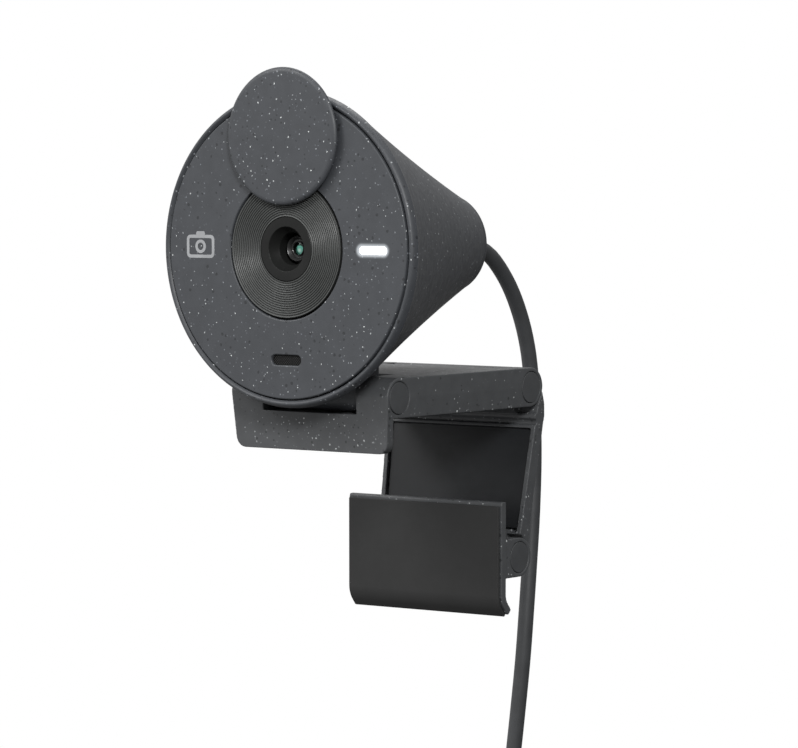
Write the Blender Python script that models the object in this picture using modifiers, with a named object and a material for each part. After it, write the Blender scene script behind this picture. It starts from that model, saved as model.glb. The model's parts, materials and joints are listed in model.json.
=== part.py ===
"""Webcam with a conical body, a round turning privacy shutter and a folding monitor clip.

Units are metres, +Z up, +Y towards the back of the monitor that the clip hangs on.
The origin is on the rubber strip under the clip's arm, where the monitor's top edge bears.
"""

import math

import bmesh
import bpy
from mathutils import Matrix, Vector

MM = 0.001

# Gap that neighbouring solids keep.
GAP = 0.3 * MM

# Head: turned about a line parallel to Y through the lens.
LENS_Z = 28.5 * MM
FACE_Y = -18.0 * MM
RIM_RADIUS = 26.54 * MM
RIM_BULGE = 0.9 * MM
SEAM_RADIUS = 25.25 * MM
WALL = 1.8 * MM
CONE_FRONT_Y = -16.6 * MM
CONE_FRONT_RADIUS = 26.4 * MM
CONE_BACK_Y = 27.05 * MM
CONE_BACK_RADIUS = 8.3 * MM
CONE_WAIST = 0.45 * MM
HEAD_BACK_Y = 28.05 * MM
FRONT_PLATE_THICK = 1.6 * MM

# Lens window and camera module, each behind the one before.
SURROUND_RADIUS = 11.5 * MM
SURROUND_HOLE = 5.45 * MM
SURROUND_SUNK = 0.1 * MM
FUNNEL_MOUTH = 3.7 * MM
HOOD_BACK_Y = FACE_Y + 4.2 * MM
FUNNEL_THROAT = 2.75 * MM
FUNNEL_DEEP = 1.8 * MM
LENS_BARREL_Y = (FACE_Y + 2.9 * MM, FACE_Y + 8.8 * MM)
HOLDER_Y = (FACE_Y + 6.5 * MM, FACE_Y + 10.5 * MM)
CAMERA_BOARD_Y = (FACE_Y + 10.8 * MM, FACE_Y + 11.8 * MM)
SENSOR_BOARD_Y = (FACE_Y + 4.4 * MM, FACE_Y + 5.2 * MM)
MAIN_BOARD_Y = (-1.0 * MM, 0.0)
CARRIER_POSTS = [(-7.0 * MM, LENS_Z - 7.0 * MM), (7.0 * MM, LENS_Z - 7.0 * MM)]

# Privacy shutter: a disc on an off-centre pivot.
SHUTTER_RADIUS = 11.45 * MM
SHUTTER_THICK = 1.1 * MM
SHUTTER_RISE = 18.75 * MM
PIVOT_Z = LENS_Z + SHUTTER_RISE / 2
BOSS_RADIUS = 1.1 * MM
SCREW_SHANK = 0.5 * MM
SCREW_HOLE = 0.85 * MM
SCREW_HEAD = 1.5 * MM

# Face details.
PILL_LONG = 6.2 * MM
PILL_TALL = 1.7 * MM
LIGHT_X = 18.1 * MM
MIC_DROP = 18.5 * MM

# Clip arm.
ARM_HALF = 16.6 * MM
ARM_BOTTOM = 0.4 * MM
ARM_TOP = 7.2 * MM
KNUCKLE = (ARM_TOP - ARM_BOTTOM) / 2
AXIS_Z = ARM_BOTTOM + KNUCKLE
TILT_Y = -8.55 * MM
LEG_Y = 29.64 * MM
LIP_BOTTOM = -5.5 * MM
LIP_THICK = 1.75 * MM
LIP_LEAN = math.radians(4.5)
LIP_TAPER = math.radians(3.4)
LIP_CORNER = 1.9 * MM
NECK_HALF = 9.65 * MM
NECK_BARREL = 2.5 * MM
NECK_FRONT_Y = -11.3 * MM
NECK_BACK_Y = -4.95 * MM
GRIP_HALF = 13.0 * MM
GRIP_Y = (-5.0 * MM, 20.0 * MM)

# Hinge pins and the caps over their ends.
PIN_RADIUS = 1.0 * MM
PIN_HOLE = PIN_RADIUS + GAP
CAP_RADIUS = 2.5 * MM
CAP_THICK = 1.4 * MM
CAP_BORE_DEEP = CAP_THICK + GAP
BARREL_HALF = 12.4 * MM
EAR_INNER = BARREL_HALF + GAP
BARREL_RADIUS = 3.05 * MM
CLEAR_RADIUS = KNUCKLE + GAP

# Foot at the leg's lower end.
FOOT_Y = 26.3 * MM
FOOT_Z = -25.55 * MM
FOOT_HALF = 16.5 * MM
FOOT_TOP = -15.65 * MM
FOOT_FRONT_Y = 20.9 * MM
FOOT_THICK = 1.3 * MM
FOOT_STRAIGHT = 16.2 * MM
FOOT_BEND_RADIUS = 3.5 * MM
FOOT_BEND = math.radians(40)
FOOT_TAIL = 1.7 * MM
PAD_THICK = 0.5 * MM
PAD_HALF = 16.2 * MM

# Rear leg.
LEG_LEAN = math.radians(10.2)
LEG_THICK = 2.4 * MM
LEG_FACE_OFFSET = 2.95 * MM
LEG_TAPER = math.radians(2.4)
RAIL_WIDE = 0.9 * MM
POCKET_DEEP = 1.5 * MM
POCKET_TOP = -3.5 * MM
POCKET_LOW = FOOT_Z + 5.6 * MM

# Cable: 1.5 m long in all, most of it in a coil that hangs below.
CABLE_RADIUS = 1.4 * MM
CABLE_ROUTE = [
    (0.0, 28.6, 28.5), (0.0, 33.0, 28.4), (0.0, 37.0, 27.6), (0.0, 40.6, 26.0), (0.0, 44.2, 23.0),
    (0.0, 47.2, 19.5), (0.0, 49.7, 15.4), (0.0, 51.6, 11.0), (0.0, 52.9, 6.0), (0.0, 53.9, -2.0),
    (0.0, 54.2, -11.0), (0.0, 53.7, -21.0), (0.0, 52.8, -30.0), (0.0, 51.9, -38.0), (-0.3, 51.2, -47.0),
    (-1.2, 51.0, -56.0), (-2.2, 51.0, -64.0), (-3.1, 51.0, -71.7),
]
COIL_CENTRE = Vector((7.2 * MM, 51.0 * MM, -92.5 * MM))
COIL_MIDDLE_RADIUS = 15.6 * MM
COIL_HALF_WIDE = 5.75 * MM
COIL_HALF_DEEP = 5.75 * MM
PLUG_X = COIL_CENTRE.x - COIL_MIDDLE_RADIUS
PLUG_Y = COIL_CENTRE.y + COIL_HALF_DEEP + 4.6 * MM
PLUG_TOP = COIL_CENTRE.z - 2.0 * MM

# Turned shapes: how many sides.
FINE = 64
MEDIUM = 32
SMALL = 20

COLOURS = {
    "graphite": ((0.075, 0.078, 0.080), 0.55, 0.0),
    "dark_graphite": ((0.045, 0.047, 0.049), 0.55, 0.0),
    "black": ((0.012, 0.012, 0.013), 0.45, 0.0),
    "rubber": ((0.032, 0.032, 0.031), 0.85, 0.0),
    "steel": ((0.55, 0.56, 0.58), 0.30, 1.0),
    "brass": ((0.60, 0.47, 0.22), 0.30, 1.0),
    "glass": ((0.06, 0.16, 0.13), 0.05, 0.0),
    "white": ((0.85, 0.88, 0.92), 0.30, 0.0),
    "board": ((0.010, 0.10, 0.045), 0.45, 0.0),
    "nickel": ((0.62, 0.60, 0.57), 0.25, 1.0),
}


# ---------------------------------------------------------------- scene

def clear_scene():
    for obj in list(bpy.data.objects):
        bpy.data.objects.remove(obj, do_unlink=True)


def new_collection(name):
    collection = bpy.data.collections.new(name)
    bpy.context.scene.collection.children.link(collection)
    return collection


def material(name):
    found = bpy.data.materials.get(name)
    if found:
        return found
    colour, roughness, metallic = COLOURS[name]
    made = bpy.data.materials.new(name)
    made.use_nodes = True
    shader = made.node_tree.nodes["Principled BSDF"]
    shader.inputs["Base Color"].default_value = (*colour, 1.0)
    shader.inputs["Roughness"].default_value = roughness
    shader.inputs["Metallic"].default_value = metallic
    return made


def keep(obj, look):
    """Puts a finished piece in the object's collection, with its material."""
    move_to(obj, PARTS)
    obj.data.materials.clear()
    obj.data.materials.append(material(look))
    obj.data.shade_smooth()
    obj.data.set_sharp_from_angle(angle=math.radians(35))
    return obj


def as_cutter(obj):
    move_to(obj, CUTTERS)
    obj.hide_render = True
    obj.display_type = "WIRE"
    return obj


def move_to(obj, collection):
    for owner in list(obj.users_collection):
        owner.objects.unlink(obj)
    collection.objects.link(obj)


# ---------------------------------------------------------------- shapes

def mesh_object(name, shape):
    mesh = bpy.data.meshes.new(name)
    shape.to_mesh(mesh)
    shape.free()
    obj = bpy.data.objects.new(name, mesh)
    bpy.context.scene.collection.objects.link(obj)
    return obj


def box(name, low, high):
    """A box between two corners, with its origin at its middle."""
    low, high = Vector(low), Vector(high)
    shape = bmesh.new()
    bmesh.ops.create_cube(shape, size=1.0)
    bmesh.ops.scale(shape, vec=high - low, verts=shape.verts)
    obj = mesh_object(name, shape)
    obj.location = (low + high) / 2
    return obj


def rod(name, start, end, radius, sides=SMALL, end_radius=None):
    """A cylinder or cone between two points."""
    start, end = Vector(start), Vector(end)
    run = end - start
    shape = bmesh.new()
    bmesh.ops.create_cone(shape, cap_ends=True, segments=sides, radius1=radius,
                          radius2=radius if end_radius is None else end_radius, depth=run.length)
    obj = mesh_object(name, shape)
    obj.rotation_mode = "QUATERNION"
    obj.rotation_quaternion = run.to_track_quat("Z", "Y")
    obj.location = (start + end) / 2
    return obj


def turned(name, profile, centre, sides=MEDIUM, closed=False):
    """A shape turned about a line parallel to Y. The profile lists (radius, y), front to back."""
    mesh = bpy.data.meshes.new(name)
    points = [(radius, 0.0, -y) for radius, y in profile]
    edges = [(i, i + 1) for i in range(len(points) - 1)]
    if closed:
        edges.append((len(points) - 1, 0))
    mesh.from_pydata(points, edges, [])
    obj = bpy.data.objects.new(name, mesh)
    bpy.context.scene.collection.objects.link(obj)
    obj.rotation_euler = (math.pi / 2, 0, 0)
    obj.location = (centre[0], 0.0, centre[1])
    turn = obj.modifiers.new("Turn", "SCREW")
    turn.steps = sides
    turn.render_steps = sides
    turn.use_merge_vertices = True
    turn.merge_threshold = 0.000002
    return obj


def prism(name, outline, low, high, along="X"):
    """A flat outline pushed out between two planes: (y, z) points along X, (x, z) points along Y,
    or (x, y) points along Z."""
    curve = bpy.data.curves.new(name, "CURVE")
    curve.dimensions = "2D"
    curve.fill_mode = "BOTH"
    curve.extrude = (high - low) / 2
    spline = curve.splines.new("POLY")
    spline.points.add(len(outline) - 1)
    for point, (a, b) in zip(spline.points, outline):
        point.co = (a, b, 0.0, 1.0)
    spline.use_cyclic_u = True
    drawn = bpy.data.objects.new(name, curve)
    bpy.context.scene.collection.objects.link(drawn)
    middle = (low + high) / 2
    turn = {
        "X": Matrix(((0, 0, 1), (1, 0, 0), (0, 1, 0))),
        "Y": Matrix(((1, 0, 0), (0, 0, -1), (0, 1, 0))),
        "Z": Matrix.Identity(3),
    }[along].to_4x4()
    shift = {"X": (middle, 0, 0), "Y": (0, middle, 0), "Z": (0, 0, middle)}[along]
    drawn.matrix_world = Matrix.Translation(shift) @ turn
    return meshed(drawn)


def meshed(drawn):
    """Makes a mesh object of a curve object, with its caps welded."""
    bpy.context.view_layer.update()
    evaluated = drawn.evaluated_get(bpy.context.evaluated_depsgraph_get())
    mesh = bpy.data.meshes.new_from_object(evaluated)
    shape = bmesh.new()
    shape.from_mesh(mesh)
    bmesh.ops.remove_doubles(shape, verts=shape.verts, dist=0.000001)
    bmesh.ops.recalc_face_normals(shape, faces=shape.faces)
    shape.to_mesh(mesh)
    shape.free()
    name = drawn.name
    matrix = drawn.matrix_world.copy()
    bpy.data.objects.remove(drawn, do_unlink=True)
    obj = bpy.data.objects.new(name, mesh)
    obj.matrix_world = matrix
    bpy.context.scene.collection.objects.link(obj)
    return obj


def cut(obj, cutter):
    boolean(obj, cutter, "DIFFERENCE")


def join(obj, other):
    boolean(obj, other, "UNION")


def trim(obj, other):
    boolean(obj, other, "INTERSECT")


def boolean(obj, other, operation):
    step = obj.modifiers.new(operation.title(), "BOOLEAN")
    step.operation = operation
    step.object = as_cutter(other)


def arc(centre, radius, start, end, count):
    """Points on an arc, from one angle to another, in degrees from the first axis."""
    points = []
    for i in range(count + 1):
        angle = math.radians(start + (end - start) * i / count)
        points.append((centre[0] + radius * math.cos(angle), centre[1] + radius * math.sin(angle)))
    return points


def pill(centre, long, tall):
    """The outline of a slot with round ends, lying along the first axis."""
    radius = tall / 2
    reach = long / 2 - radius
    right = arc((centre[0] + reach, centre[1]), radius, -90, 90, 6)
    left = arc((centre[0] - reach, centre[1]), radius, 90, 270, 6)
    return right + left


# ---------------------------------------------------------------- head

def cone_radius(y):
    """Outer radius of the body at y: nearly a cone, drawn in a little at mid length."""
    t = (y - CONE_FRONT_Y) / (HEAD_BACK_Y - CONE_FRONT_Y)
    straight = CONE_FRONT_RADIUS + (CONE_BACK_RADIUS - CONE_FRONT_RADIUS) * t
    return straight - CONE_WAIST * 4 * t * (1 - t)


def body_profile(inset, front, back):
    """(radius, y) points of the body's side, drawn in by a wall's thickness."""
    count = 10
    return [(cone_radius(y) - inset, y) for y in
            (front + (back - front) * i / count for i in range(count + 1))]


def rear_housing():
    rim = [(SEAM_RADIUS + (RIM_RADIUS - SEAM_RADIUS) * math.sin(math.radians(a)),
            FACE_Y + RIM_BULGE * (1 - math.cos(math.radians(a)))) for a in (0, 30, 60, 90)]
    side = body_profile(0.0, CONE_FRONT_Y, CONE_BACK_Y)
    end = [(cone_radius(CONE_BACK_Y) - 0.35 * MM, HEAD_BACK_Y - 0.3 * MM),
           (cone_radius(CONE_BACK_Y) - 1.2 * MM, HEAD_BACK_Y)]
    housing = turned("rear_housing", [(0.0, FACE_Y)] + rim + side + end + [(0.0, HEAD_BACK_Y)],
                     (0.0, LENS_Z), FINE)
    join(housing, neck())
    plate_seat = FACE_Y + FRONT_PLATE_THICK + GAP
    hollow = [(0.0, FACE_Y - 1 * MM), (SEAM_RADIUS, FACE_Y - 1 * MM), (SEAM_RADIUS, plate_seat)]
    hollow += body_profile(WALL, plate_seat, CONE_BACK_Y - WALL)
    hollow.append((0.0, CONE_BACK_Y - WALL))
    cut(housing, turned("housing_hollow", hollow, (0.0, LENS_Z), FINE))
    cut(housing, rod("cable_hole", (0, 20 * MM, LENS_Z), (0, 30 * MM, LENS_Z), 2.5 * MM))
    cut(housing, rod("tilt_pin_hole", (-20 * MM, TILT_Y, AXIS_Z), (20 * MM, TILT_Y, AXIS_Z), PIN_HOLE))
    keep(housing, "graphite")


def neck():
    """The block under the body whose lower end is the barrel of the tilt hinge."""
    barrel = arc((TILT_Y, AXIS_Z), NECK_BARREL, 180, 350, 10)
    outline = [(NECK_FRONT_Y, 11.5 * MM), (NECK_FRONT_Y, AXIS_Z + 0.9 * MM)] + barrel
    outline += [(NECK_BACK_Y, AXIS_Z + 0.8 * MM), (NECK_BACK_Y, 11.5 * MM)]
    return prism("neck", outline, -NECK_HALF, NECK_HALF)


def front_plate():
    radius = SEAM_RADIUS - GAP
    back = FACE_Y + FRONT_PLATE_THICK
    plate = turned("front_plate", [(0.0, FACE_Y), (radius - 0.2 * MM, FACE_Y), (radius, FACE_Y + 0.2 * MM),
                                   (radius, back), (0.0, back)], (0.0, LENS_Z), FINE)
    hole = SURROUND_RADIUS + GAP
    cut(plate, turned("surround_hole", [(0.0, FACE_Y - MM), (hole, FACE_Y - MM), (hole, back + MM),
                                        (0.0, back + MM)], (0.0, LENS_Z), 48))
    through = (FACE_Y - MM, back + MM)
    cut(plate, prism("light_slot", pill((LIGHT_X, LENS_Z), PILL_LONG, PILL_TALL), *through, along="Y"))
    cut(plate, prism("mic_slot", pill((0.0, LENS_Z - MIC_DROP), PILL_LONG, PILL_TALL), *through, along="Y"))
    keep(plate, "graphite")


def lens_surround():
    """The grooved ring round the lens, almost level with the face."""
    back = FACE_Y + FRONT_PLATE_THICK
    outline = [(SURROUND_HOLE, FACE_Y + SURROUND_SUNK)]
    grooves = 5
    step = (SURROUND_RADIUS - SURROUND_HOLE - 1.0 * MM) / grooves
    depth = 0.1 * MM
    for i in range(grooves):
        inner = SURROUND_HOLE + 0.5 * MM + step * i
        outline.append((inner, FACE_Y + depth))
        outline.append((inner + step * 0.5, FACE_Y + depth - 0.05 * MM))
        outline.append((inner + step * 0.75, FACE_Y + depth + 0.05 * MM))
    outline += [(SURROUND_RADIUS, FACE_Y + 0.1 * MM), (SURROUND_RADIUS, back), (SURROUND_HOLE, back)]
    ring = turned("lens_surround", outline, (0.0, LENS_Z), 48, closed=True)
    cut(ring, rod("pivot_hole", (0, FACE_Y - MM, PIVOT_Z), (0, back + MM, PIVOT_Z), BOSS_RADIUS + GAP))
    keep(ring, "black")


def shutter():
    front = FACE_Y - GAP - SHUTTER_THICK
    back = FACE_Y - GAP
    centre = (0.0, LENS_Z + SHUTTER_RISE)
    rounding = 0.45 * MM
    profile = [(0.0, front), (SHUTTER_RADIUS - rounding, front), (SHUTTER_RADIUS - 0.13 * MM, front + 0.13 * MM),
               (SHUTTER_RADIUS, front + rounding), (SHUTTER_RADIUS, back), (0.0, back)]
    disc = turned("shutter_disc", profile, centre, 48)
    surround_back = FACE_Y + FRONT_PLATE_THICK
    boss_end = surround_back + 0.65 * MM
    join(disc, rod("shutter_boss", (0, back - 0.3 * MM, PIVOT_Z), (0, boss_end, PIVOT_Z), BOSS_RADIUS))
    cut(disc, rod("shutter_pilot", (0, back, PIVOT_Z), (0, boss_end + MM, PIVOT_Z), SCREW_HOLE - 0.1 * MM))
    keep(disc, "graphite")
    washer_front = surround_back + GAP
    ring = [(BOSS_RADIUS + GAP, washer_front), (2.5 * MM, washer_front), (2.5 * MM, washer_front + 0.3 * MM),
            (BOSS_RADIUS + GAP, washer_front + 0.3 * MM)]
    keep(turned("shutter_friction_washer", ring, (0.0, PIVOT_Z), 24, closed=True), "steel")
    screw("shutter_pivot_screw", (0.0, PIVOT_Z), boss_end + GAP + 0.6 * MM, back + 0.7 * MM)


def screw(name, centre, head_back, tip):
    """A pan-head screw along Y. Its head is at head_back, or at the front if the tip lies behind."""
    side = 1 if tip > head_back else -1
    head = head_back + side * 0.6 * MM
    profile = [(0.0, head_back), (SCREW_HEAD, head_back), (SCREW_HEAD, head), (SCREW_SHANK, head),
               (SCREW_SHANK, tip), (0.0, tip)]
    if side < 0:
        profile.reverse()
    keep(turned(name, profile, centre, 16), "steel")


# ---------------------------------------------------------------- camera module and electronics

def camera_module():
    sunk = FACE_Y + SURROUND_SUNK
    outer = SURROUND_HOLE - GAP
    hood = [(FUNNEL_MOUTH, sunk), (outer, sunk), (outer, HOOD_BACK_Y), (FUNNEL_THROAT, HOOD_BACK_Y),
            (FUNNEL_THROAT, FACE_Y + FUNNEL_DEEP), (FUNNEL_MOUTH, sunk + 0.1 * MM)]
    keep(turned("lens_hood", hood, (0.0, LENS_Z), MEDIUM, closed=True), "black")
    front, back = LENS_BARREL_Y
    barrel = [(1.75 * MM, front), (2.45 * MM, front), (2.45 * MM, back), (1.6 * MM, back),
              (1.6 * MM, front + 0.6 * MM)]
    keep(turned("lens_barrel", barrel, (0.0, LENS_Z), MEDIUM, closed=True), "black")
    element = 1.3 * MM
    crown = [(0.0, front + 0.35 * MM), (0.5 * MM, front + 0.4 * MM), (0.95 * MM, front + 0.6 * MM),
             (element, front + 0.9 * MM), (element, front + 1.5 * MM), (0.0, front + 1.5 * MM)]
    keep(turned("front_lens", crown, (0.0, LENS_Z), 24), "glass")
    inner = [(0.0, front + 2.4 * MM), (element, front + 2.7 * MM), (element, front + 3.5 * MM),
             (0.0, front + 3.8 * MM)]
    keep(turned("inner_lens", inner, (0.0, LENS_Z), 24), "glass")
    lens_holder()
    filter_y = HOLDER_Y[1] - 1.2 * MM
    keep(box("infrared_filter", (-1.9 * MM, filter_y, LENS_Z - 1.9 * MM),
             (1.9 * MM, filter_y + 0.3 * MM, LENS_Z + 1.9 * MM)), "glass")
    chip_y = CAMERA_BOARD_Y[0] - GAP
    keep(box("image_sensor", (-2.6 * MM, chip_y - 0.55 * MM, LENS_Z - 2.6 * MM),
             (2.6 * MM, chip_y, LENS_Z + 2.6 * MM)), "black")
    camera_board()
    lens_carrier()


def lens_holder():
    front, back = HOLDER_Y
    half = 4.4 * MM
    holder = box("lens_holder", (-half, front, LENS_Z - half), (half, back, LENS_Z + half))
    cut(holder, rod("barrel_bore", (0, front - MM, LENS_Z), (0, back, LENS_Z), 2.75 * MM, 24))
    room = 3.2 * MM
    cut(holder, box("sensor_room", (-room, back - 1.5 * MM, LENS_Z - room),
                    (room, back + MM, LENS_Z + room)))
    keep(holder, "black")


def camera_board():
    half = 9.0 * MM
    front, back = CAMERA_BOARD_Y
    board = box("camera_board", (-half, front, LENS_Z - half), (half, back, LENS_Z + half))
    for i, (x, z) in enumerate(CARRIER_POSTS):
        cut(board, rod(f"camera_screw_hole_{i + 1}", (x, front - MM, z), (x, back + MM, z), SCREW_HOLE, 12))
        screw(f"camera_screw_{i + 1}", (x, z), back + GAP + 0.6 * MM, front - 2.5 * MM)
    keep(board, "board")


def lens_carrier():
    """The ring behind the lens surround, with the posts that hold the camera board."""
    front = FACE_Y + FRONT_PLATE_THICK + GAP
    back = front + 1.5 * MM
    ring = [(5.6 * MM, front), (12.6 * MM, front), (12.6 * MM, back), (5.6 * MM, back)]
    carrier = turned("lens_carrier", ring, (0.0, LENS_Z), MEDIUM, closed=True)
    cut(carrier, box("pivot_room", (-3.1 * MM, front - MM, LENS_Z + 6.0 * MM),
                     (3.1 * MM, back + MM, LENS_Z + 14 * MM)))
    post_end = CAMERA_BOARD_Y[0] - GAP
    for i, (x, z) in enumerate(CARRIER_POSTS):
        join(carrier, rod(f"carrier_post_{i + 1}", (x, front + 0.5 * MM, z), (x, post_end, z), 1.5 * MM, 16))
    for i, (x, z) in enumerate(CARRIER_POSTS):
        cut(carrier, rod(f"carrier_pilot_{i + 1}", (x, post_end - 4 * MM, z), (x, post_end + MM, z),
                         SCREW_HOLE - 0.05 * MM, 12))
    keep(carrier, "black")


def face_parts():
    """Status light, microphone and the board that carries both."""
    front, back = SENSOR_BOARD_Y
    middle = (0.0, LENS_Z)
    outline = arc(middle, 21.5 * MM, -100, 12, 14) + arc(middle, 14.6 * MM, 12, -100, 12)
    keep(prism("sensor_board", outline, front, back, along="Y"), "board")
    slim = 2 * GAP
    guide = pill((LIGHT_X, LENS_Z), PILL_LONG - slim, PILL_TALL - slim)
    keep(prism("light_guide", guide, FACE_Y + 0.05 * MM, FACE_Y + 2.9 * MM, along="Y"), "white")
    keep(box("status_led", (LIGHT_X - 1.2 * MM, FACE_Y + 3.2 * MM, LENS_Z - 0.8 * MM),
             (LIGHT_X + 1.2 * MM, front - GAP, LENS_Z + 0.8 * MM)), "white")
    mic = (0.0, LENS_Z - MIC_DROP)
    mesh = pill(mic, PILL_LONG - slim, PILL_TALL - slim)
    keep(prism("microphone_mesh", mesh, FACE_Y + 0.35 * MM, FACE_Y + 0.75 * MM, along="Y"), "black")
    gasket_front = FACE_Y + FRONT_PLATE_THICK + GAP
    gasket = prism("microphone_gasket", pill(mic, 8.4 * MM, 3.8 * MM), gasket_front, gasket_front + 0.9 * MM,
                   along="Y")
    cut(gasket, prism("gasket_hole", pill(mic, 6.0 * MM, 1.8 * MM), gasket_front - MM, gasket_front + 2 * MM,
                      along="Y"))
    keep(gasket, "rubber")
    keep(box("microphone", (-1.9 * MM, FACE_Y + 3.1 * MM, mic[1] - 1.4 * MM),
             (1.9 * MM, front - GAP, mic[1] + 1.4 * MM)), "nickel")


def main_electronics(housing):
    front, back = MAIN_BOARD_Y
    board = box("main_board", (-11.5 * MM, front, LENS_Z - 9.0 * MM), (11.5 * MM, back, LENS_Z + 9.0 * MM))
    drop = 6.5 * MM
    for i, x in enumerate((-9.0 * MM, 9.0 * MM)):
        z = LENS_Z - drop
        cut(board, rod(f"main_screw_hole_{i + 1}", (x, front - MM, z), (x, back + MM, z), SCREW_HOLE, 12))
        screw(f"main_board_screw_{i + 1}", (x, z), front - GAP - 0.6 * MM, back + 4 * MM)
        join(housing, rod(f"board_post_{i + 1}", (x, back + GAP, z), (x, 15.5 * MM, z), 1.6 * MM, 16))
        cut(housing, rod(f"board_pilot_{i + 1}", (x, back - MM, z), (x, back + 5 * MM, z),
                         SCREW_HOLE - 0.05 * MM, 12))
    keep(board, "board")
    keep(box("image_processor", (-4.5 * MM, front - GAP - 1.1 * MM, LENS_Z - 3.0 * MM),
             (4.5 * MM, front - GAP, LENS_Z + 6.0 * MM)), "black")
    keep(box("flex_ribbon", (-3.0 * MM, CAMERA_BOARD_Y[1] + GAP, LENS_Z - 8.2 * MM),
             (3.0 * MM, front - GAP, LENS_Z - 7.9 * MM)), "brass")
    keep(box("cable_socket", (-4.0 * MM, back + GAP, LENS_Z - 2.0 * MM),
             (4.0 * MM, back + 5.0 * MM, LENS_Z + 2.0 * MM)), "white")
    relief_front = 21.5 * MM
    keep(rod("inner_lead", (0, back + 5.3 * MM, LENS_Z), (0, relief_front - GAP, LENS_Z), 1.2 * MM, 12),
         "rubber")
    wall_front = CONE_BACK_Y - WALL - GAP
    relief = [(0.0, relief_front), (2.6 * MM, relief_front), (3.3 * MM, relief_front + 0.8 * MM),
              (3.3 * MM, wall_front), (2.15 * MM, wall_front), (2.15 * MM, HEAD_BACK_Y), (1.7 * MM, HEAD_BACK_Y + GAP),
              (0.0, HEAD_BACK_Y + GAP)]
    keep(turned("cable_strain_relief", relief, (0.0, LENS_Z), 24), "rubber")


# ---------------------------------------------------------------- clip arm

def clip_arm():
    top = arc((TILT_Y, AXIS_Z), KNUCKLE, 180, 90, 8)
    end = arc((LEG_Y, AXIS_Z), KNUCKLE, 90, -90, 14)
    drop = AXIS_Z - LIP_BOTTOM
    lip_front = TILT_Y - KNUCKLE + drop * math.tan(LIP_LEAN)
    inner = lip_front + LIP_THICK
    rise = (ARM_BOTTOM - LIP_BOTTOM) * math.tan(LIP_LEAN)
    below = MM
    lean = below * math.tan(LIP_LEAN)
    outline = [(lip_front + lean, LIP_BOTTOM - below)] + top + end
    outline += [(inner - rise, ARM_BOTTOM), (inner + lean, LIP_BOTTOM - below)]
    arm = prism("clip_arm", outline, -ARM_HALF, ARM_HALF)
    trim(arm, lip_shape())
    slot = NECK_HALF + GAP
    low = AXIS_Z - NECK_BARREL - GAP
    notch = [(TILT_Y - 8 * MM, low), (TILT_Y, low)] + arc((TILT_Y, AXIS_Z), NECK_BARREL + GAP, -70, -20, 4)
    notch += [(TILT_Y + 4.5 * MM, AXIS_Z), (TILT_Y + 4.5 * MM, AXIS_Z + 2.3 * MM), (TILT_Y + 7.7 * MM, ARM_TOP),
              (TILT_Y + 7.7 * MM, ARM_TOP + 2 * MM), (TILT_Y - 8 * MM, ARM_TOP + 2 * MM)]
    cut(arm, prism("neck_notch", notch, -slot, slot))
    rear = LEG_Y - KNUCKLE - 2 * GAP
    cut(arm, box("leg_notch", (-EAR_INNER, rear, -2 * MM), (EAR_INNER, LEG_Y + 9 * MM, ARM_TOP + 2 * MM)))
    for place in (TILT_Y, LEG_Y):
        cut_pin_seat(arm, place, AXIS_Z, ARM_HALF, ARM_HALF)
    cut(arm, box("grip_seat", (-GRIP_HALF - GAP, GRIP_Y[0] - GAP, -MM),
                 (GRIP_HALF + GAP, GRIP_Y[1] + GAP, ARM_BOTTOM + GAP)))
    keep(arm, "graphite")
    keep(box("arm_grip_strip", (-GRIP_HALF, GRIP_Y[0], 0), (GRIP_HALF, GRIP_Y[1], ARM_BOTTOM)), "rubber")
    lip_pad(inner - rise)
    hinge_pin("tilt", TILT_Y, AXIS_Z, ARM_HALF)
    hinge_pin("leg", LEG_Y, AXIS_Z, ARM_HALF)


def lip_shape():
    """The arm's outline from the front: straight sides, then a lip that narrows and has round corners."""
    drop = AXIS_Z - LIP_BOTTOM
    half = ARM_HALF - drop * math.tan(LIP_TAPER)
    corner = (half - LIP_CORNER, LIP_BOTTOM + LIP_CORNER)
    right = [(half - 0.1 * MM, LIP_BOTTOM + LIP_CORNER)] + arc(corner, LIP_CORNER, -15, -90, 5)
    left = [(-x, z) for x, z in reversed(right)]
    side = ARM_HALF + 0.5 * MM
    outline = [(side, AXIS_Z + 10 * MM), (side, AXIS_Z + 0.5 * MM), (ARM_HALF, AXIS_Z - 0.5 * MM)] + right + left
    outline += [(-ARM_HALF, AXIS_Z - 0.5 * MM), (-side, AXIS_Z + 0.5 * MM), (-side, AXIS_Z + 10 * MM)]
    return prism("lip_shape", outline, -20 * MM, 40 * MM, along="Y")


def lip_pad(back_y):
    """A thin rubber pad on the lip's inner face, which bears on the monitor's bezel."""
    thick = 0.6 * MM
    top, bottom = -0.4 * MM, -4.3 * MM
    slope = math.tan(LIP_LEAN)

    def at(z):
        return back_y + (ARM_BOTTOM - z) * slope + GAP

    outline = [(at(top), top), (at(bottom), bottom), (at(bottom) + thick, bottom), (at(top) + thick, top)]
    keep(prism("lip_pad", outline, -12.5 * MM, 12.5 * MM), "rubber")


def cut_pin_seat(obj, y, z, half, reach):
    """The hole for a hinge pin, with a wider bore at each end for its cap."""
    cut(obj, rod("pin_hole", (-reach - MM, y, z), (reach + MM, y, z), PIN_HOLE))
    for side in (-1, 1):
        cut(obj, rod("cap_bore", (side * (half - CAP_BORE_DEEP), y, z), (side * (half + MM), y, z),
                     CAP_RADIUS + GAP, 28))


def hinge_pin(name, y, z, half):
    """A steel pin through both ears, with a plastic cap over each end."""
    reach = half - CAP_BORE_DEEP
    keep(rod(f"{name}_hinge_pin", (-reach, y, z), (reach, y, z), PIN_RADIUS), "steel")
    for side, word in ((-1, "left"), (1, "right")):
        keep(rod(f"{name}_pin_cap_{word}", (side * (half - CAP_THICK), y, z), (side * half, y, z), CAP_RADIUS, 28),
             "graphite")


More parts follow.
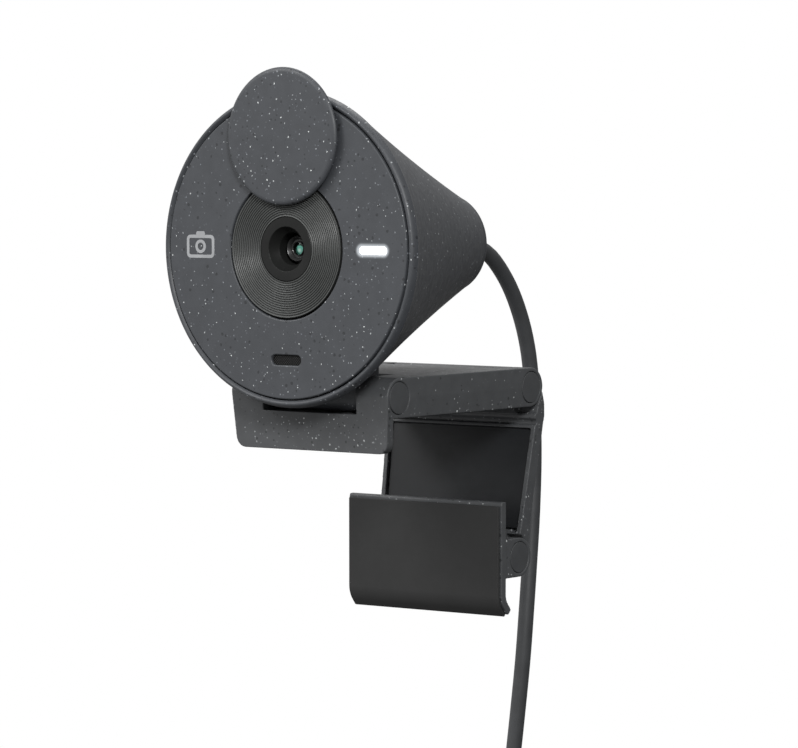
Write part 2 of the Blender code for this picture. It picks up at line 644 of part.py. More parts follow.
# ---------------------------------------------------------------- leg

def leg_point(offset, z):
    """A (y, z) point at a distance behind the plane of the leg's front face."""
    return (LEG_Y + (LEG_FACE_OFFSET + offset) / math.cos(LEG_LEAN) + (z - AXIS_Z) * math.tan(LEG_LEAN), z)


def leg_frame():
    front_top = leg_point(0.0, -2.9 * MM)
    front_low = leg_point(0.0, FOOT_Z + 5.4 * MM)
    back_low = leg_point(LEG_THICK, FOOT_Z + 1.6 * MM)
    back_high = leg_point(LEG_THICK, -3.6 * MM)
    top = arc((LEG_Y, AXIS_Z), KNUCKLE + GAP + 0.05 * MM, -12, -42, 5)
    outline = top + [(31.5 * MM, -0.5 * MM), (31.85 * MM, -1.9 * MM), front_top, front_low]
    outline += arc((FOOT_Y, FOOT_Z), CLEAR_RADIUS, 68, 30, 5)
    outline += [back_low, back_high, (34.15 * MM, -1.4 * MM), (34.1 * MM, 0.3 * MM), (33.75 * MM, 1.6 * MM)]
    frame = prism("leg_frame", outline, -ARM_HALF, ARM_HALF)
    trim(frame, leg_shape())
    outline = [leg_point(-3 * MM, POCKET_TOP), leg_point(POCKET_DEEP, POCKET_TOP),
               leg_point(POCKET_DEEP, POCKET_LOW), leg_point(-3 * MM, POCKET_LOW)]
    pocket = prism("leg_pocket", outline, -ARM_HALF, ARM_HALF)
    trim(pocket, leg_shape(RAIL_WIDE))
    cut(frame, pocket)
    upper = arc((LEG_Y, AXIS_Z), KNUCKLE, 10, 240, 16)
    upper += [(31.6 * MM, -1.2 * MM), (33.2 * MM, -1.0 * MM), (33.5 * MM, 1.5 * MM)]
    join(frame, prism("upper_barrel", upper, -BARREL_HALF, BARREL_HALF))
    lower = arc((FOOT_Y, FOOT_Z), BARREL_RADIUS, 110, 380, 16)
    lower += [leg_point(LEG_THICK - 0.3 * MM, FOOT_Z + 3.4 * MM), leg_point(LEG_THICK - 0.3 * MM, FOOT_Z + 5.9 * MM),
              leg_point(POCKET_DEEP + 0.2 * MM, FOOT_Z + 5.9 * MM), leg_point(0.2 * MM, FOOT_Z + 4.6 * MM)]
    join(frame, prism("lower_barrel", lower, -BARREL_HALF, BARREL_HALF))
    for y, z in ((LEG_Y, AXIS_Z), (FOOT_Y, FOOT_Z)):
        cut(frame, rod("barrel_bore", (-20 * MM, y, z), (20 * MM, y, z), PIN_HOLE))
    keep(frame, "graphite")
    top, low = POCKET_TOP - GAP, POCKET_LOW + 2 * GAP
    front, back = POCKET_DEEP - GAP - 0.6 * MM, POCKET_DEEP - GAP
    outline = [leg_point(front, top), leg_point(back, top), leg_point(back, low), leg_point(front, low)]
    inlay = prism("leg_inlay", outline, -ARM_HALF, ARM_HALF)
    trim(inlay, leg_shape(RAIL_WIDE + GAP))
    keep(inlay, "dark_graphite")


def leg_half(z):
    return ARM_HALF - 0.1 * MM - max(0.0, (AXIS_Z - z)) * math.tan(LEG_TAPER)


def leg_shape(inset=0.0):
    """The leg's outline from the front, a little narrower towards the foot, drawn in by inset."""
    high, low = 6 * MM, FOOT_Z - 6 * MM
    upper, lower = leg_half(high) - inset, leg_half(low) - inset
    outline = [(upper, high), (lower, low), (-lower, low), (-upper, high)]
    return prism("leg_shape", outline, 15 * MM, 45 * MM, along="Y")


# ---------------------------------------------------------------- foot

def foot_line(offset, tail):
    """Points down the foot's plate, at a distance behind its front face, with its lower end bent back."""
    low = FOOT_TOP - FOOT_STRAIGHT
    centre = (FOOT_FRONT_Y + FOOT_BEND_RADIUS, low)
    bend = math.degrees(FOOT_BEND)
    points = [(FOOT_FRONT_Y + offset, FOOT_TOP)]
    points += arc(centre, FOOT_BEND_RADIUS - offset, 180, 180 + bend, 5)
    y, z = points[-1]
    points.append((y + tail * math.sin(FOOT_BEND), z - tail * math.cos(FOOT_BEND)))
    return points


def foot():
    outline = foot_line(0.0, FOOT_TAIL) + list(reversed(foot_line(FOOT_THICK, FOOT_TAIL - 0.15 * MM)))
    plate = prism("foot_plate", outline, -FOOT_HALF, FOOT_HALF)
    lug = arc((FOOT_Y, FOOT_Z), KNUCKLE, -90, 90, 14)
    lug += [(FOOT_FRONT_Y + FOOT_THICK - 0.3 * MM, FOOT_Z + KNUCKLE),
            (FOOT_FRONT_Y + FOOT_THICK - 0.3 * MM, FOOT_Z - KNUCKLE)]
    for side in (-1, 1):
        low, high = sorted((side * EAR_INNER, side * (FOOT_HALF - 0.05 * MM)))
        join(plate, prism("foot_lug", lug, low, high))
    cut_pin_seat(plate, FOOT_Y, FOOT_Z, FOOT_HALF, FOOT_HALF)
    keep(plate, "graphite")
    hinge_pin("foot", FOOT_Y, FOOT_Z, FOOT_HALF)
    top_drop = 0.7 * MM
    front = foot_line(-GAP - PAD_THICK, FOOT_TAIL - 0.3 * MM)
    back = foot_line(-GAP, FOOT_TAIL - 0.3 * MM)
    front[0] = (front[0][0], front[0][1] - top_drop)
    back[0] = (back[0][0], back[0][1] - top_drop)
    keep(prism("foot_pad", front + list(reversed(back)), -PAD_HALF, PAD_HALF), "rubber")


# ---------------------------------------------------------------- cable

def smooth_route(route, step):
    """Points a step apart on a smooth curve through the route's own points."""
    points = [Vector(p) * MM for p in route]
    ends = [2 * points[0] - points[1]] + points + [2 * points[-1] - points[-2]]
    fine = []
    for i in range(1, len(ends) - 2):
        before, here, there, after = ends[i - 1:i + 3]
        for k in range(40):
            t = k / 40
            fine.append(0.5 * (2 * here + (there - before) * t
                               + (2 * before - 5 * here + 4 * there - after) * t * t
                               + (3 * here - before - 3 * there + after) * t ** 3))
    fine.append(points[-1])
    kept = [fine[0]]
    for point in fine[1:-1]:
        if (point - kept[-1]).length >= step:
            kept.append(point)
    if (fine[-1] - kept[-1]).length < step / 2:
        kept.pop()
    return kept + [fine[-1]]


def cable():
    curve = bpy.data.curves.new("cable", "CURVE")
    curve.dimensions = "3D"
    curve.bevel_depth = CABLE_RADIUS
    curve.bevel_resolution = 2
    curve.use_fill_caps = True
    points = smooth_route(CABLE_ROUTE, 5 * CABLE_RADIUS)
    spline = curve.splines.new("POLY")
    spline.points.add(len(points) - 1)
    for knot, point in zip(spline.points, points):
        knot.co = (*point, 1.0)
    tube = bpy.data.objects.new("cable", curve)
    bpy.context.scene.collection.objects.link(tube)
    keep(meshed(tube), "rubber")


def cable_coil():
    """The wound length: one ring with rounded corners, facing the front."""
    wide, deep, corner = COIL_HALF_WIDE, COIL_HALF_DEEP, 2.0 * MM
    outline = []
    for a, (u, v) in enumerate(((1, 1), (-1, 1), (-1, -1), (1, -1))):
        outline += arc((COIL_MIDDLE_RADIUS + u * (wide - corner), COIL_CENTRE.y + v * (deep - corner)), corner,
                       a * 90, a * 90 + 90, 3)
    ring = turned("cable_coil", outline, (COIL_CENTRE.x, COIL_CENTRE.z), 40, closed=True)
    keep(ring, "rubber")


def coil_tie():
    """A band round the coil's bundle, at its right."""
    centre = Vector((COIL_CENTRE.x + COIL_MIDDLE_RADIUS, COIL_CENTRE.y, COIL_CENTRE.z))
    inner = Vector((COIL_HALF_WIDE + 0.35 * MM, COIL_HALF_DEEP + 0.35 * MM, 2.0 * MM))
    outer = inner + Vector((0.7 * MM, 0.7 * MM, 0.0))
    band = box("coil_tie", centre - outer, centre + outer)
    inner.z += MM
    cut(band, box("tie_room", centre - inner, centre + inner))
    keep(band, "black")


def usb_plug():
    half_wide, half_deep, long = 7.6 * MM, 4.0 * MM, 23 * MM
    relief = 9 * MM
    middle = (PLUG_X, PLUG_Y)
    neck = rod("plug_strain_relief", (*middle, PLUG_TOP - relief), (*middle, PLUG_TOP), 2.9 * MM, 20, 2.0 * MM)
    keep(neck, "rubber")
    top = PLUG_TOP - relief - GAP
    body = box("usb_plug_body", (PLUG_X - half_wide, PLUG_Y - half_deep, top - long),
               (PLUG_X + half_wide, PLUG_Y + half_deep, top))
    rounding = body.modifiers.new("Rounding", "BEVEL")
    rounding.width = 1.2 * MM
    rounding.segments = 2
    keep(body, "rubber")
    mouth = top - long - GAP
    shell_long = 12 * MM
    shell = box("usb_plug_shell", (PLUG_X - 6.0 * MM, PLUG_Y - 2.25 * MM, mouth - shell_long),
                (PLUG_X + 6.0 * MM, PLUG_Y + 2.25 * MM, mouth))
    wall = 0.35 * MM
    cut(shell, box("shell_room", (PLUG_X - 6.0 * MM + wall, PLUG_Y - 2.25 * MM + wall, mouth - shell_long - MM),
                   (PLUG_X + 6.0 * MM - wall, PLUG_Y + 2.25 * MM - wall, mouth - 1.0 * MM)))
    keep(shell, "nickel")
    keep(box("usb_plug_tongue", (PLUG_X - 5.3 * MM, PLUG_Y - 0.2 * MM, mouth - shell_long + 0.5 * MM),
             (PLUG_X + 5.3 * MM, PLUG_Y + 1.5 * MM, mouth - 1.3 * MM)), "black")


# ---------------------------------------------------------------- build

clear_scene()
PARTS = new_collection("webcam")
CUTTERS = new_collection("cutters")
rear_housing()
main_electronics(bpy.data.objects["rear_housing"])
front_plate()
lens_surround()
shutter()
camera_module()
face_parts()
clip_arm()
leg_frame()
foot()
cable()
cable_coil()
coil_tie()
usb_plug()
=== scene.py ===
"""A conical webcam on a folding monitor clip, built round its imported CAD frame."""

import json
import math

import bmesh
import bpy
from mathutils import Matrix, Vector

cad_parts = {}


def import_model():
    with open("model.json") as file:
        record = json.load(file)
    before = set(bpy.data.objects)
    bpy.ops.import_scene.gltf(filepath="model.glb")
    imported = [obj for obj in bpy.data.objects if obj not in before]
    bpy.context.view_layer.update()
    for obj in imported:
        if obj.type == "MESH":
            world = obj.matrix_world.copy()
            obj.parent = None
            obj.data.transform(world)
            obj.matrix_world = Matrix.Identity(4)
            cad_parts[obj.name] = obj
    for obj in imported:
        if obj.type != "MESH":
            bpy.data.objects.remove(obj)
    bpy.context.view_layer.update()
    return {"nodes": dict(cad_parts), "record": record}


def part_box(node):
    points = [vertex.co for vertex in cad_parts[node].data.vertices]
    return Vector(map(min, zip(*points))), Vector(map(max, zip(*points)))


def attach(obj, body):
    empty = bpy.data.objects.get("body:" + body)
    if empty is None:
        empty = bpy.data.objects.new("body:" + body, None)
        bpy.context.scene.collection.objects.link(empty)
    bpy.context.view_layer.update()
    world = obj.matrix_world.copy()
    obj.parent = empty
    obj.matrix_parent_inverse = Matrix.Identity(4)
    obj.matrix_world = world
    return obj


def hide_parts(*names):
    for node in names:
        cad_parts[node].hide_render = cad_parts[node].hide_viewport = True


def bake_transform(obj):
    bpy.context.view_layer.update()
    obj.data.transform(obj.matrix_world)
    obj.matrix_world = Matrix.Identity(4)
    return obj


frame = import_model()

MM = 0.001

# Sizes that the pieces share with the CAD, in metres.
LENS_Z = 28.5 * MM
FACE_Y = -18.0 * MM
RIM_RADIUS = 26.54 * MM
RIM_BULGE = 1.2 * MM
SEAM_RADIUS = 25.25 * MM
CONE_FRONT_Y = -16.6 * MM
CONE_FRONT_RADIUS = 26.4 * MM
CONE_BACK_Y = 27.05 * MM
CONE_BACK_RADIUS = 8.3 * MM
CONE_WAIST = 0.45 * MM
HEAD_BACK_Y = 28.05 * MM
PLATE_THICK = 1.6 * MM
SURROUND_RADIUS = 11.5 * MM
SURROUND_HOLE = 5.45 * MM
SURROUND_SUNK = 0.1 * MM
FUNNEL_MOUTH = 3.7 * MM
FUNNEL_THROAT = 2.75 * MM
FUNNEL_DEEP = 1.8 * MM
BARREL_FRONT = FACE_Y + 2.9 * MM
GROOVES = 15
GROOVES_FROM = SURROUND_HOLE + 0.12 * MM
GROOVES_TO = SURROUND_RADIUS - 0.20 * MM
SHUTTER_RADIUS = 11.45 * MM
SHUTTER_THICK = 1.1 * MM
SHUTTER_GAP = 0.3 * MM
SHUTTER_Z = LENS_Z + 18.75 * MM
PILL_LONG = 6.2 * MM
PILL_TALL = 1.7 * MM
LIGHT_X = 18.1 * MM
MIC_Z = LENS_Z - 18.5 * MM
ARM_HALF = 16.6 * MM
ARM_BOTTOM = 0.4 * MM
ARM_TOP = 7.2 * MM
KNUCKLE = (ARM_TOP - ARM_BOTTOM) / 2
AXIS_Z = ARM_BOTTOM + KNUCKLE
TILT_Y = -8.55 * MM
LEG_Y = 29.64 * MM
LIP_BOTTOM = -5.5 * MM
LIP_THICK = 1.75 * MM
LIP_LEAN = math.radians(4.5)
LIP_TAPER = math.radians(3.4)
LIP_CORNER = 1.9 * MM
NECK_HALF = 9.65 * MM
NECK_BARREL = 2.5 * MM
NECK_FRONT_Y = -11.3 * MM
NECK_BACK_Y = -4.95 * MM
CAP_RADIUS = 2.68 * MM
CAP_BORE = 2.76 * MM
CAP_DEEP = 1.4 * MM
CAP_SUNK = 0.03 * MM
PIN_HOLE = 1.2 * MM
BARREL_HALF = 12.4 * MM
EAR_INNER = 12.7 * MM
BARREL_RADIUS = 3.05 * MM
CLEAR_RADIUS = 4.1 * MM
LEG_LEAN = math.radians(10.2)
LEG_THICK = 2.4 * MM
LEG_FACE_OFFSET = 2.95 * MM
LEG_TAPER = math.radians(2.4)
RAIL_WIDE = 0.9 * MM
POCKET_DEEP = 1.5 * MM
POCKET_TOP = -3.5 * MM
FOOT_Y = 26.3 * MM
FOOT_Z = -25.55 * MM
POCKET_LOW = FOOT_Z + 5.6 * MM
FOOT_HALF = 16.5 * MM
FOOT_TOP = -15.65 * MM
FOOT_FRONT_Y = 20.9 * MM
FOOT_THICK = 1.3 * MM
FOOT_STRAIGHT = 16.2 * MM
FOOT_BEND_RADIUS = 3.5 * MM
FOOT_BEND = math.radians(40)
FOOT_TAIL = 1.7 * MM
PAD_THICK = 0.5 * MM
PAD_HALF = 16.2 * MM

# The cable: its visible run, then a coil of the length that the view leaves out.
CABLE_RADIUS = 1.4 * MM
CABLE_ROUTE = [
    (0.0, 28.6, 28.5), (0.0, 33.0, 28.4), (0.0, 37.0, 27.6), (0.0, 40.6, 26.0), (0.0, 44.2, 23.0),
    (0.0, 47.2, 19.5), (0.0, 49.7, 15.4), (0.0, 51.6, 11.0), (0.0, 52.9, 6.0), (0.0, 53.9, -2.0),
    (0.0, 54.2, -11.0), (0.0, 53.7, -21.0), (0.0, 52.8, -30.0), (0.0, 51.9, -38.0), (-0.3, 51.2, -47.0),
    (-1.2, 51.0, -56.0), (-2.2, 51.0, -64.0), (-3.1, 51.0, -71.0),
]
COIL_CENTRE = Vector((7.2, 51.0, -92.5)) * MM
COIL_RADII = (19.8, 17.0, 14.2, 11.4)
COIL_LAYERS = (-4.2, -1.4, 1.4, 4.2)
COIL_TURNS = 12
RUN_IN_RADIUS = 22.7
PLUG_RADIUS = 15.6
PLUG_LAYER = 10.35
PLUG_X = COIL_CENTRE.x - PLUG_RADIUS * MM
PLUG_Y = COIL_CENTRE.y + PLUG_LAYER * MM
PLUG_TOP = COIL_CENTRE.z - 2.0 * MM

# Angles round the coil, in degrees: where it starts, where each turn steps to the next, and where it ends.
START_ANGLE = 118.0
STEP_FROM = 150.0
STEP_TO = 200.0
PLUG_ANGLE = 180.0


# ---------------------------------------------------------------- materials

class Nodes:
    """Short calls for building one material's node tree."""

    def __init__(self, name, material=None):
        self.material = material or bpy.data.materials.new(name)
        self.material.use_nodes = True
        self.tree = self.material.node_tree
        self.shader = self.tree.nodes["Principled BSDF"]

    def add(self, kind, links=(), **values):
        node = self.tree.nodes.new(kind)
        for key, value in values.items():
            if hasattr(node, key):
                setattr(node, key, value)
        for socket, source in dict(links).items():
            self.feed(node.inputs[socket], source)
        return node

    def feed(self, socket, source):
        """Joins a socket to another node's output, or sets it to a number or a colour."""
        if isinstance(source, bpy.types.NodeSocket):
            self.tree.links.new(source, socket)
        else:
            socket.default_value = source

    def math(self, operation, a, b=0.0, clamp=False):
        node = self.add("ShaderNodeMath", {0: a, 1: b}, operation=operation, use_clamp=clamp)
        return node.outputs[0]

    def spread(self, value, low, high, to_low=0.0, to_high=1.0):
        node = self.add("ShaderNodeMapRange", {0: value, 1: low, 2: high, 3: to_low, 4: to_high},
                        interpolation_type="SMOOTHSTEP")
        return node.outputs[0]

    def mix(self, share, a, b):
        node = self.add("ShaderNodeMix", data_type="RGBA")
        for index, source in ((0, share), (6, a), (7, b)):
            self.feed(node.inputs[index], source)
        return node.outputs[2]

    def place(self):
        return self.add("ShaderNodeTexCoord").outputs["Object"]

    def noise(self, place, scale, detail=2.0):
        node = self.add("ShaderNodeTexNoise", {"Vector": place, "Scale": scale, "Detail": detail})
        return node.outputs["Fac"]

    def bump(self, height, strength, distance):
        node = self.add("ShaderNodeBump", {"Height": height, "Strength": strength, "Distance": distance})
        self.feed(self.shader.inputs["Normal"], node.outputs[0])

    def surface(self, colour, roughness, **more):
        self.feed(self.shader.inputs["Base Color"], colour)
        self.feed(self.shader.inputs["Roughness"], roughness)
        for socket, value in more.items():
            self.feed(self.shader.inputs[socket.replace("_", " ")], value)
        return self.material


def rgb(level, tint=(1.0, 1.0, 1.0)):
    return (level * tint[0], level * tint[1], level * tint[2], 1.0)


def flecks(n, place, scale, least, spare, share, shift):
    """Scattered specks: (mask, brightness from 0 to 1). Share is how many cells hold one."""
    moved = n.add("ShaderNodeVectorMath", {0: place, 1: shift}, operation="ADD").outputs[0]
    cells = n.add("ShaderNodeTexVoronoi", {"Vector": moved, "Scale": scale})
    parts = n.add("ShaderNodeSeparateColor", {0: cells.outputs["Color"]})
    reach = n.math("MULTIPLY_ADD", parts.outputs[1], spare)
    reach.node.inputs[2].default_value = least
    nearness = n.math("SUBTRACT", reach, cells.outputs["Distance"])
    mask = n.spread(nearness, 0.0, 0.035)
    kept = n.math("LESS_THAN", parts.outputs[0], share)
    return n.math("MULTIPLY", mask, kept), parts.outputs[2]


def speckled(name, level, tint, share=0.54, roughness=0.5, specular=0.35):
    """Moulded plastic of recycled stock, with pale and dark flecks in it."""
    n = Nodes(name)
    place = n.place()
    wobble = n.add("ShaderNodeTexNoise", {"Vector": place, "Scale": 3800.0, "Detail": 1.0})
    offset = n.add("ShaderNodeVectorMath", {0: wobble.outputs["Color"], 1: (0.5, 0.5, 0.5)},
                   operation="SUBTRACT").outputs[0]
    offset = n.add("ShaderNodeVectorMath", {0: offset, "Scale": 0.00025}, operation="SCALE").outputs[0]
    bent = n.add("ShaderNodeVectorMath", {0: place, 1: offset}, operation="ADD").outputs[0]
    cloud = n.spread(n.noise(place, 420.0, 3.0), 0.3, 0.7)
    colour = n.mix(cloud, rgb(level * 0.94, tint), rgb(level * 1.06, tint))
    dim, _ = flecks(n, bent, 1500.0, 0.06, 0.18, 0.50, (0.7, 0.2, 0.4))
    colour = n.mix(n.math("MULTIPLY", dim, 0.6), colour, rgb(level * 2.2, tint))
    dark, _ = flecks(n, bent, 1000.0, 0.10, 0.20, 0.45, (0.3, 0.9, 0.1))
    colour = n.mix(n.math("MULTIPLY", dark, 0.75), colour, rgb(level * 0.35, tint))
    light, how = flecks(n, bent, 1250.0, 0.08, 0.16, share, (0.0, 0.0, 0.0))
    pale = n.mix(n.math("POWER", how, 2.0), rgb(0.12, tint), rgb(0.42, (0.97, 1.0, 1.0)))
    colour = n.mix(light, colour, pale)
    n.bump(n.noise(place, 5200.0, 2.0), 0.25, 0.00003)
    rough = n.spread(n.noise(place, 900.0, 2.0), 0.3, 0.7, roughness - 0.04, roughness + 0.04)
    return n.surface(colour, rough, Specular_IOR_Level=specular)


def satin(name, level, tint=(1.0, 1.0, 1.0), roughness=0.5, specular=0.4, grain=2600.0, patchy=0.08):
    """Plain moulded plastic or rubber with a fine grain."""
    n = Nodes(name)
    place = n.place()
    cloud = n.spread(n.noise(place, 260.0, 3.0), 0.3, 0.7)
    colour = n.mix(cloud, rgb(level * (1 - patchy), tint), rgb(level * (1 + patchy), tint))
    n.bump(n.noise(place, grain, 3.0), 0.25, 0.00002)
    rough = n.spread(n.noise(place, 700.0, 2.0), 0.3, 0.7, roughness - patchy / 2, roughness + patchy / 2)
    return n.surface(colour, rough, Specular_IOR_Level=specular)


def pill_distance(n, place):
    """How far a point lies outside the status window's middle line, seen from the front."""
    parts = n.add("ShaderNodeSeparateXYZ", {0: place})
    along = n.math("ABSOLUTE", n.math("SUBTRACT", parts.outputs[0], LIGHT_X))
    along = n.math("MAXIMUM", n.math("SUBTRACT", along, (PILL_LONG - PILL_TALL) / 2), 0.0)
    up = n.math("SUBTRACT", parts.outputs[2], LENS_Z)
    both = n.add("ShaderNodeCombineXYZ", {0: along, 1: up})
    return n.add("ShaderNodeVectorMath", {0: both.outputs[0]}, operation="LENGTH").outputs["Value"]


def haloed(name, level, tint):
    """The face's plastic, with a painted glow round the status window let into it."""
    n = Nodes(name, speckled(name, level, tint))
    edge = PILL_TALL / 2
    # Painted glow: the plate itself emits a soft light in a band round the status window, fading outwards.
    painted_halo = n.spread(pill_distance(n, n.place()), edge - 0.1 * MM, edge + 0.75 * MM, 1.0, 0.0)
    n.feed(n.shader.inputs["Emission Color"], (0.9, 0.95, 1.0, 1.0))
    n.feed(n.shader.inputs["Emission Strength"], n.math("MULTIPLY", n.math("POWER", painted_halo, 2.5), 0.5))
    return n.material


def grooved(name):
    """The lens ring's plastic, with painted shade down in its grooves."""
    n = Nodes(name)
    place = n.place()
    parts = n.add("ShaderNodeSeparateXYZ", {0: place})
    up = n.math("SUBTRACT", parts.outputs[2], LENS_Z)
    across = n.add("ShaderNodeCombineXYZ", {0: parts.outputs[0], 1: up})
    radius = n.add("ShaderNodeVectorMath", {0: across.outputs[0]}, operation="LENGTH").outputs["Value"]
    turns = n.math("DIVIDE", n.math("SUBTRACT", radius, GROOVES_FROM), (GROOVES_TO - GROOVES_FROM) / GROOVES)
    ridge = n.math("COSINE", n.math("MULTIPLY", turns, 2 * math.pi))
    tint = (0.98, 1.03, 1.0)
    # Painted shade: the colour goes darker towards the bottom of each groove.
    colour = n.mix(n.spread(ridge, -0.6, 0.9), rgb(0.012, tint), rgb(0.055, tint))
    rough = n.spread(n.noise(place, 700.0, 2.0), 0.3, 0.7, 0.42, 0.50)
    return n.surface(colour, rough, Specular_IOR_Level=0.28)


def metal(name, colour, roughness, scale=3000.0):
    n = Nodes(name)
    place = n.place()
    tone = n.spread(n.noise(place, scale, 3.0), 0.3, 0.7)
    shade = n.mix(tone, rgb(0.85, colour), rgb(1.0, colour))
    rough = n.spread(n.noise(place, scale * 0.4, 2.0), 0.3, 0.7, roughness * 0.8, roughness * 1.2)
    n.bump(n.noise(place, scale, 2.0), 0.12, 0.00001)
    return n.surface(shade, rough, Metallic=1.0)


def mesh_cloth(name):
    """The fine diagonal weave over the microphone."""
    n = Nodes(name)
    place = n.place()
    slant = (0.0, math.radians(45), 0.0)
    turned = n.add("ShaderNodeMapping", {"Vector": place, "Rotation": slant}).outputs[0]
    heights = []
    for direction in ("X", "Z"):
        wave = n.add("ShaderNodeTexWave", {"Vector": turned, "Scale": 950.0}, bands_direction=direction)
        heights.append(wave.outputs["Fac"])
    weave = n.math("MULTIPLY", heights[0], heights[1])
    colour = n.mix(weave, rgb(0.002), rgb(0.030))
    n.bump(weave, 0.5, 0.00004)
    return n.surface(colour, 0.6, Specular_IOR_Level=0.08)


def glow(name):
    """The lit status window: milky plastic with the light behind its middle."""
    n = Nodes(name)
    place = n.place()
    grain = n.spread(n.noise(place, 1500.0, 2.0), 0.3, 0.7)
    colour = n.mix(grain, rgb(0.90), rgb(1.0))
    n.feed(n.shader.inputs["Emission Color"], n.mix(grain, rgb(0.95, (0.96, 0.98, 1.0)), rgb(1.0)))
    power = n.spread(pill_distance(n, place), 0.3 * MM, PILL_TALL / 2, 1.3, 0.45)
    return n.surface(colour, 0.35, Emission_Strength=power)


def coated_glass(name):
    """The lens element, green-coated, with a painted reflection: a glint at the lower right, and painted
    dark at the upper left.
    """
    n = Nodes(name)
    place = n.place()
    # Painted reflection: a teal-white glint painted round this point, fading to teal, then painted dark
    # further out at the upper left.
    painted_glint_centre = (0.24 * MM, BARREL_FRONT + 0.5 * MM, LENS_Z - 0.30 * MM)
    from_painted_glint = n.add("ShaderNodeVectorMath", {0: place, 1: painted_glint_centre}, operation="DISTANCE").outputs["Value"]
    tone = n.spread(from_painted_glint, 0.0, 0.55 * MM)
    colour = n.mix(tone, rgb(0.62, (0.72, 1.0, 0.90)), rgb(0.36, (0.30, 1.0, 0.78)))
    colour = n.mix(n.spread(from_painted_glint, 0.74 * MM, 0.92 * MM), colour, rgb(0.02, (0.5, 1.0, 0.8)))
    rough = n.spread(n.noise(place, 900.0, 1.0), 0.3, 0.7, 0.10, 0.16)
    return n.surface(colour, rough, Metallic=0.9, Coat_Weight=0.3, Coat_Roughness=0.05)


GREY = (0.96, 1.0, 1.05)
BLUE_GREY = (0.93, 1.0, 1.12)
MATERIALS = {
    "face_plastic": haloed("face_plastic", 0.037, BLUE_GREY),
    "body_plastic": speckled("body_plastic", 0.037, BLUE_GREY),
    "clip_plastic": speckled("clip_plastic", 0.051, GREY, 0.64),
    "inlay_plastic": satin("inlay_plastic", 0.010, BLUE_GREY, 0.42, 0.25),
    "ring_plastic": grooved("ring_plastic"),
    "black_plastic": satin("black_plastic", 0.009, (1.0, 1.03, 1.0), 0.42, 0.14),
    "lens_glass": coated_glass("lens_glass"),
    "light_lens": glow("light_lens"),
    "pad_rubber": satin("pad_rubber", 0.020, (1.0, 1.0, 1.0), 0.7, 0.2, 3200.0, patchy=0.03),
    "cable_rubber": satin("cable_rubber", 0.039, GREY, 0.5, 0.3),
    "pin_steel": metal("pin_steel", (0.62, 0.63, 0.65), 0.30),
    "plated_metal": metal("plated_metal", (0.72, 0.70, 0.66), 0.22),
    "circuit_board": satin("circuit_board", 0.09, (0.12, 1.0, 0.42), 0.4, 0.5),
    "chip_plastic": satin("chip_plastic", 0.016, GREY, 0.6, 0.4),
    "socket_plastic": satin("socket_plastic", 0.70, (1.0, 0.98, 0.92), 0.45, 0.5),
    "flex_film": satin("flex_film", 0.50, (1.0, 0.62, 0.20), 0.3, 0.5),
}
MIC_CLOTH = mesh_cloth("mic_cloth")
CAP_PLASTIC = satin("cap_plastic", 0.044, GREY, 0.55, 0.3)


# ---------------------------------------------------------------- shapes

def arc(centre, radius, start, end, count=24):
    """Points on an arc, from one angle to another, in degrees from the first axis."""
    points = []
    for i in range(count + 1):
        angle = math.radians(start + (end - start) * i / count)
        points.append((centre[0] + radius * math.cos(angle), centre[1] + radius * math.sin(angle)))
    return points


def pill(centre, long, tall):
    radius = tall / 2
    reach = long / 2 - radius
    right = arc((centre[0] + reach, centre[1]), radius, -90, 90)
    left = arc((centre[0] - reach, centre[1]), radius, 90, 270)
    return right + left


def oblong(left, low, right, high):
    """The four corners of an upright rectangle."""
    return [(left, low), (right, low), (right, high), (left, high)]


def rounded(points, radius, steps=5):
    """A closed outline whose corners are rounded, each by its own radius where a list is given."""
    radii = radius if isinstance(radius, (list, tuple)) else [radius] * len(points)
    made = []
    for i, (point, r) in enumerate(zip(points, radii)):
        here = Vector(point)
        before = Vector(points[i - 1]) - here
        after = Vector(points[(i + 1) % len(points)]) - here
        turn = before.angle(after)
        if r <= 0 or turn > math.radians(176):
            made.append(tuple(here))
            continue
        back = min(r / math.tan(turn / 2), 0.49 * before.length, 0.49 * after.length)
        first = here + before.normalized() * back
        last = here + after.normalized() * back
        for k in range(steps + 1):
            t = k / steps
            made.append(tuple(first * (1 - t) ** 2 + here * 2 * t * (1 - t) + last * t * t))
    return made


def shown(name, mesh, angle=40):
    obj = bpy.data.objects.new(name, mesh)
    bpy.context.scene.collection.objects.link(obj)
    mesh.shade_smooth()
    if angle:
        mesh.set_sharp_from_angle(angle=math.radians(angle))
    return obj


def cleaned(mesh):
    """Welds a mesh and turns its faces outwards."""
    shape = bmesh.new()
    shape.from_mesh(mesh)
    bmesh.ops.remove_doubles(shape, verts=shape.verts, dist=0.000001)
    bmesh.ops.recalc_face_normals(shape, faces=shape.faces)
    shape.to_mesh(mesh)
    shape.free()
    return mesh


def lathe(name, profile, centre=(0.0, LENS_Z), sides=192, closed=False, angle=40):
    """A shape turned about a line parallel to Y through centre. The profile lists (radius, y)."""
    verts, rings = [], []
    for radius, y in profile:
        if radius < 1e-7:
            rings.append([len(verts)] * sides)
            verts.append((centre[0], y, centre[1]))
            continue
        rings.append(list(range(len(verts), len(verts) + sides)))
        for k in range(sides):
            a = 2 * math.pi * k / sides
            verts.append((centre[0] + radius * math.cos(a), y, centre[1] + radius * math.sin(a)))
    pairs = list(zip(rings, rings[1:]))
    if closed:
        pairs.append((rings[-1], rings[0]))
    faces = []
    for one, two in pairs:
        for k in range(sides):
            j = (k + 1) % sides
            corners = [one[k], one[j], two[j], two[k]]
            face = [v for i, v in enumerate(corners) if v not in corners[:i]]
            if len(face) > 2:
                faces.append(face)
    mesh = bpy.data.meshes.new(name)
    mesh.from_pydata(verts, [], faces)
    return shown(name, cleaned(mesh), angle)


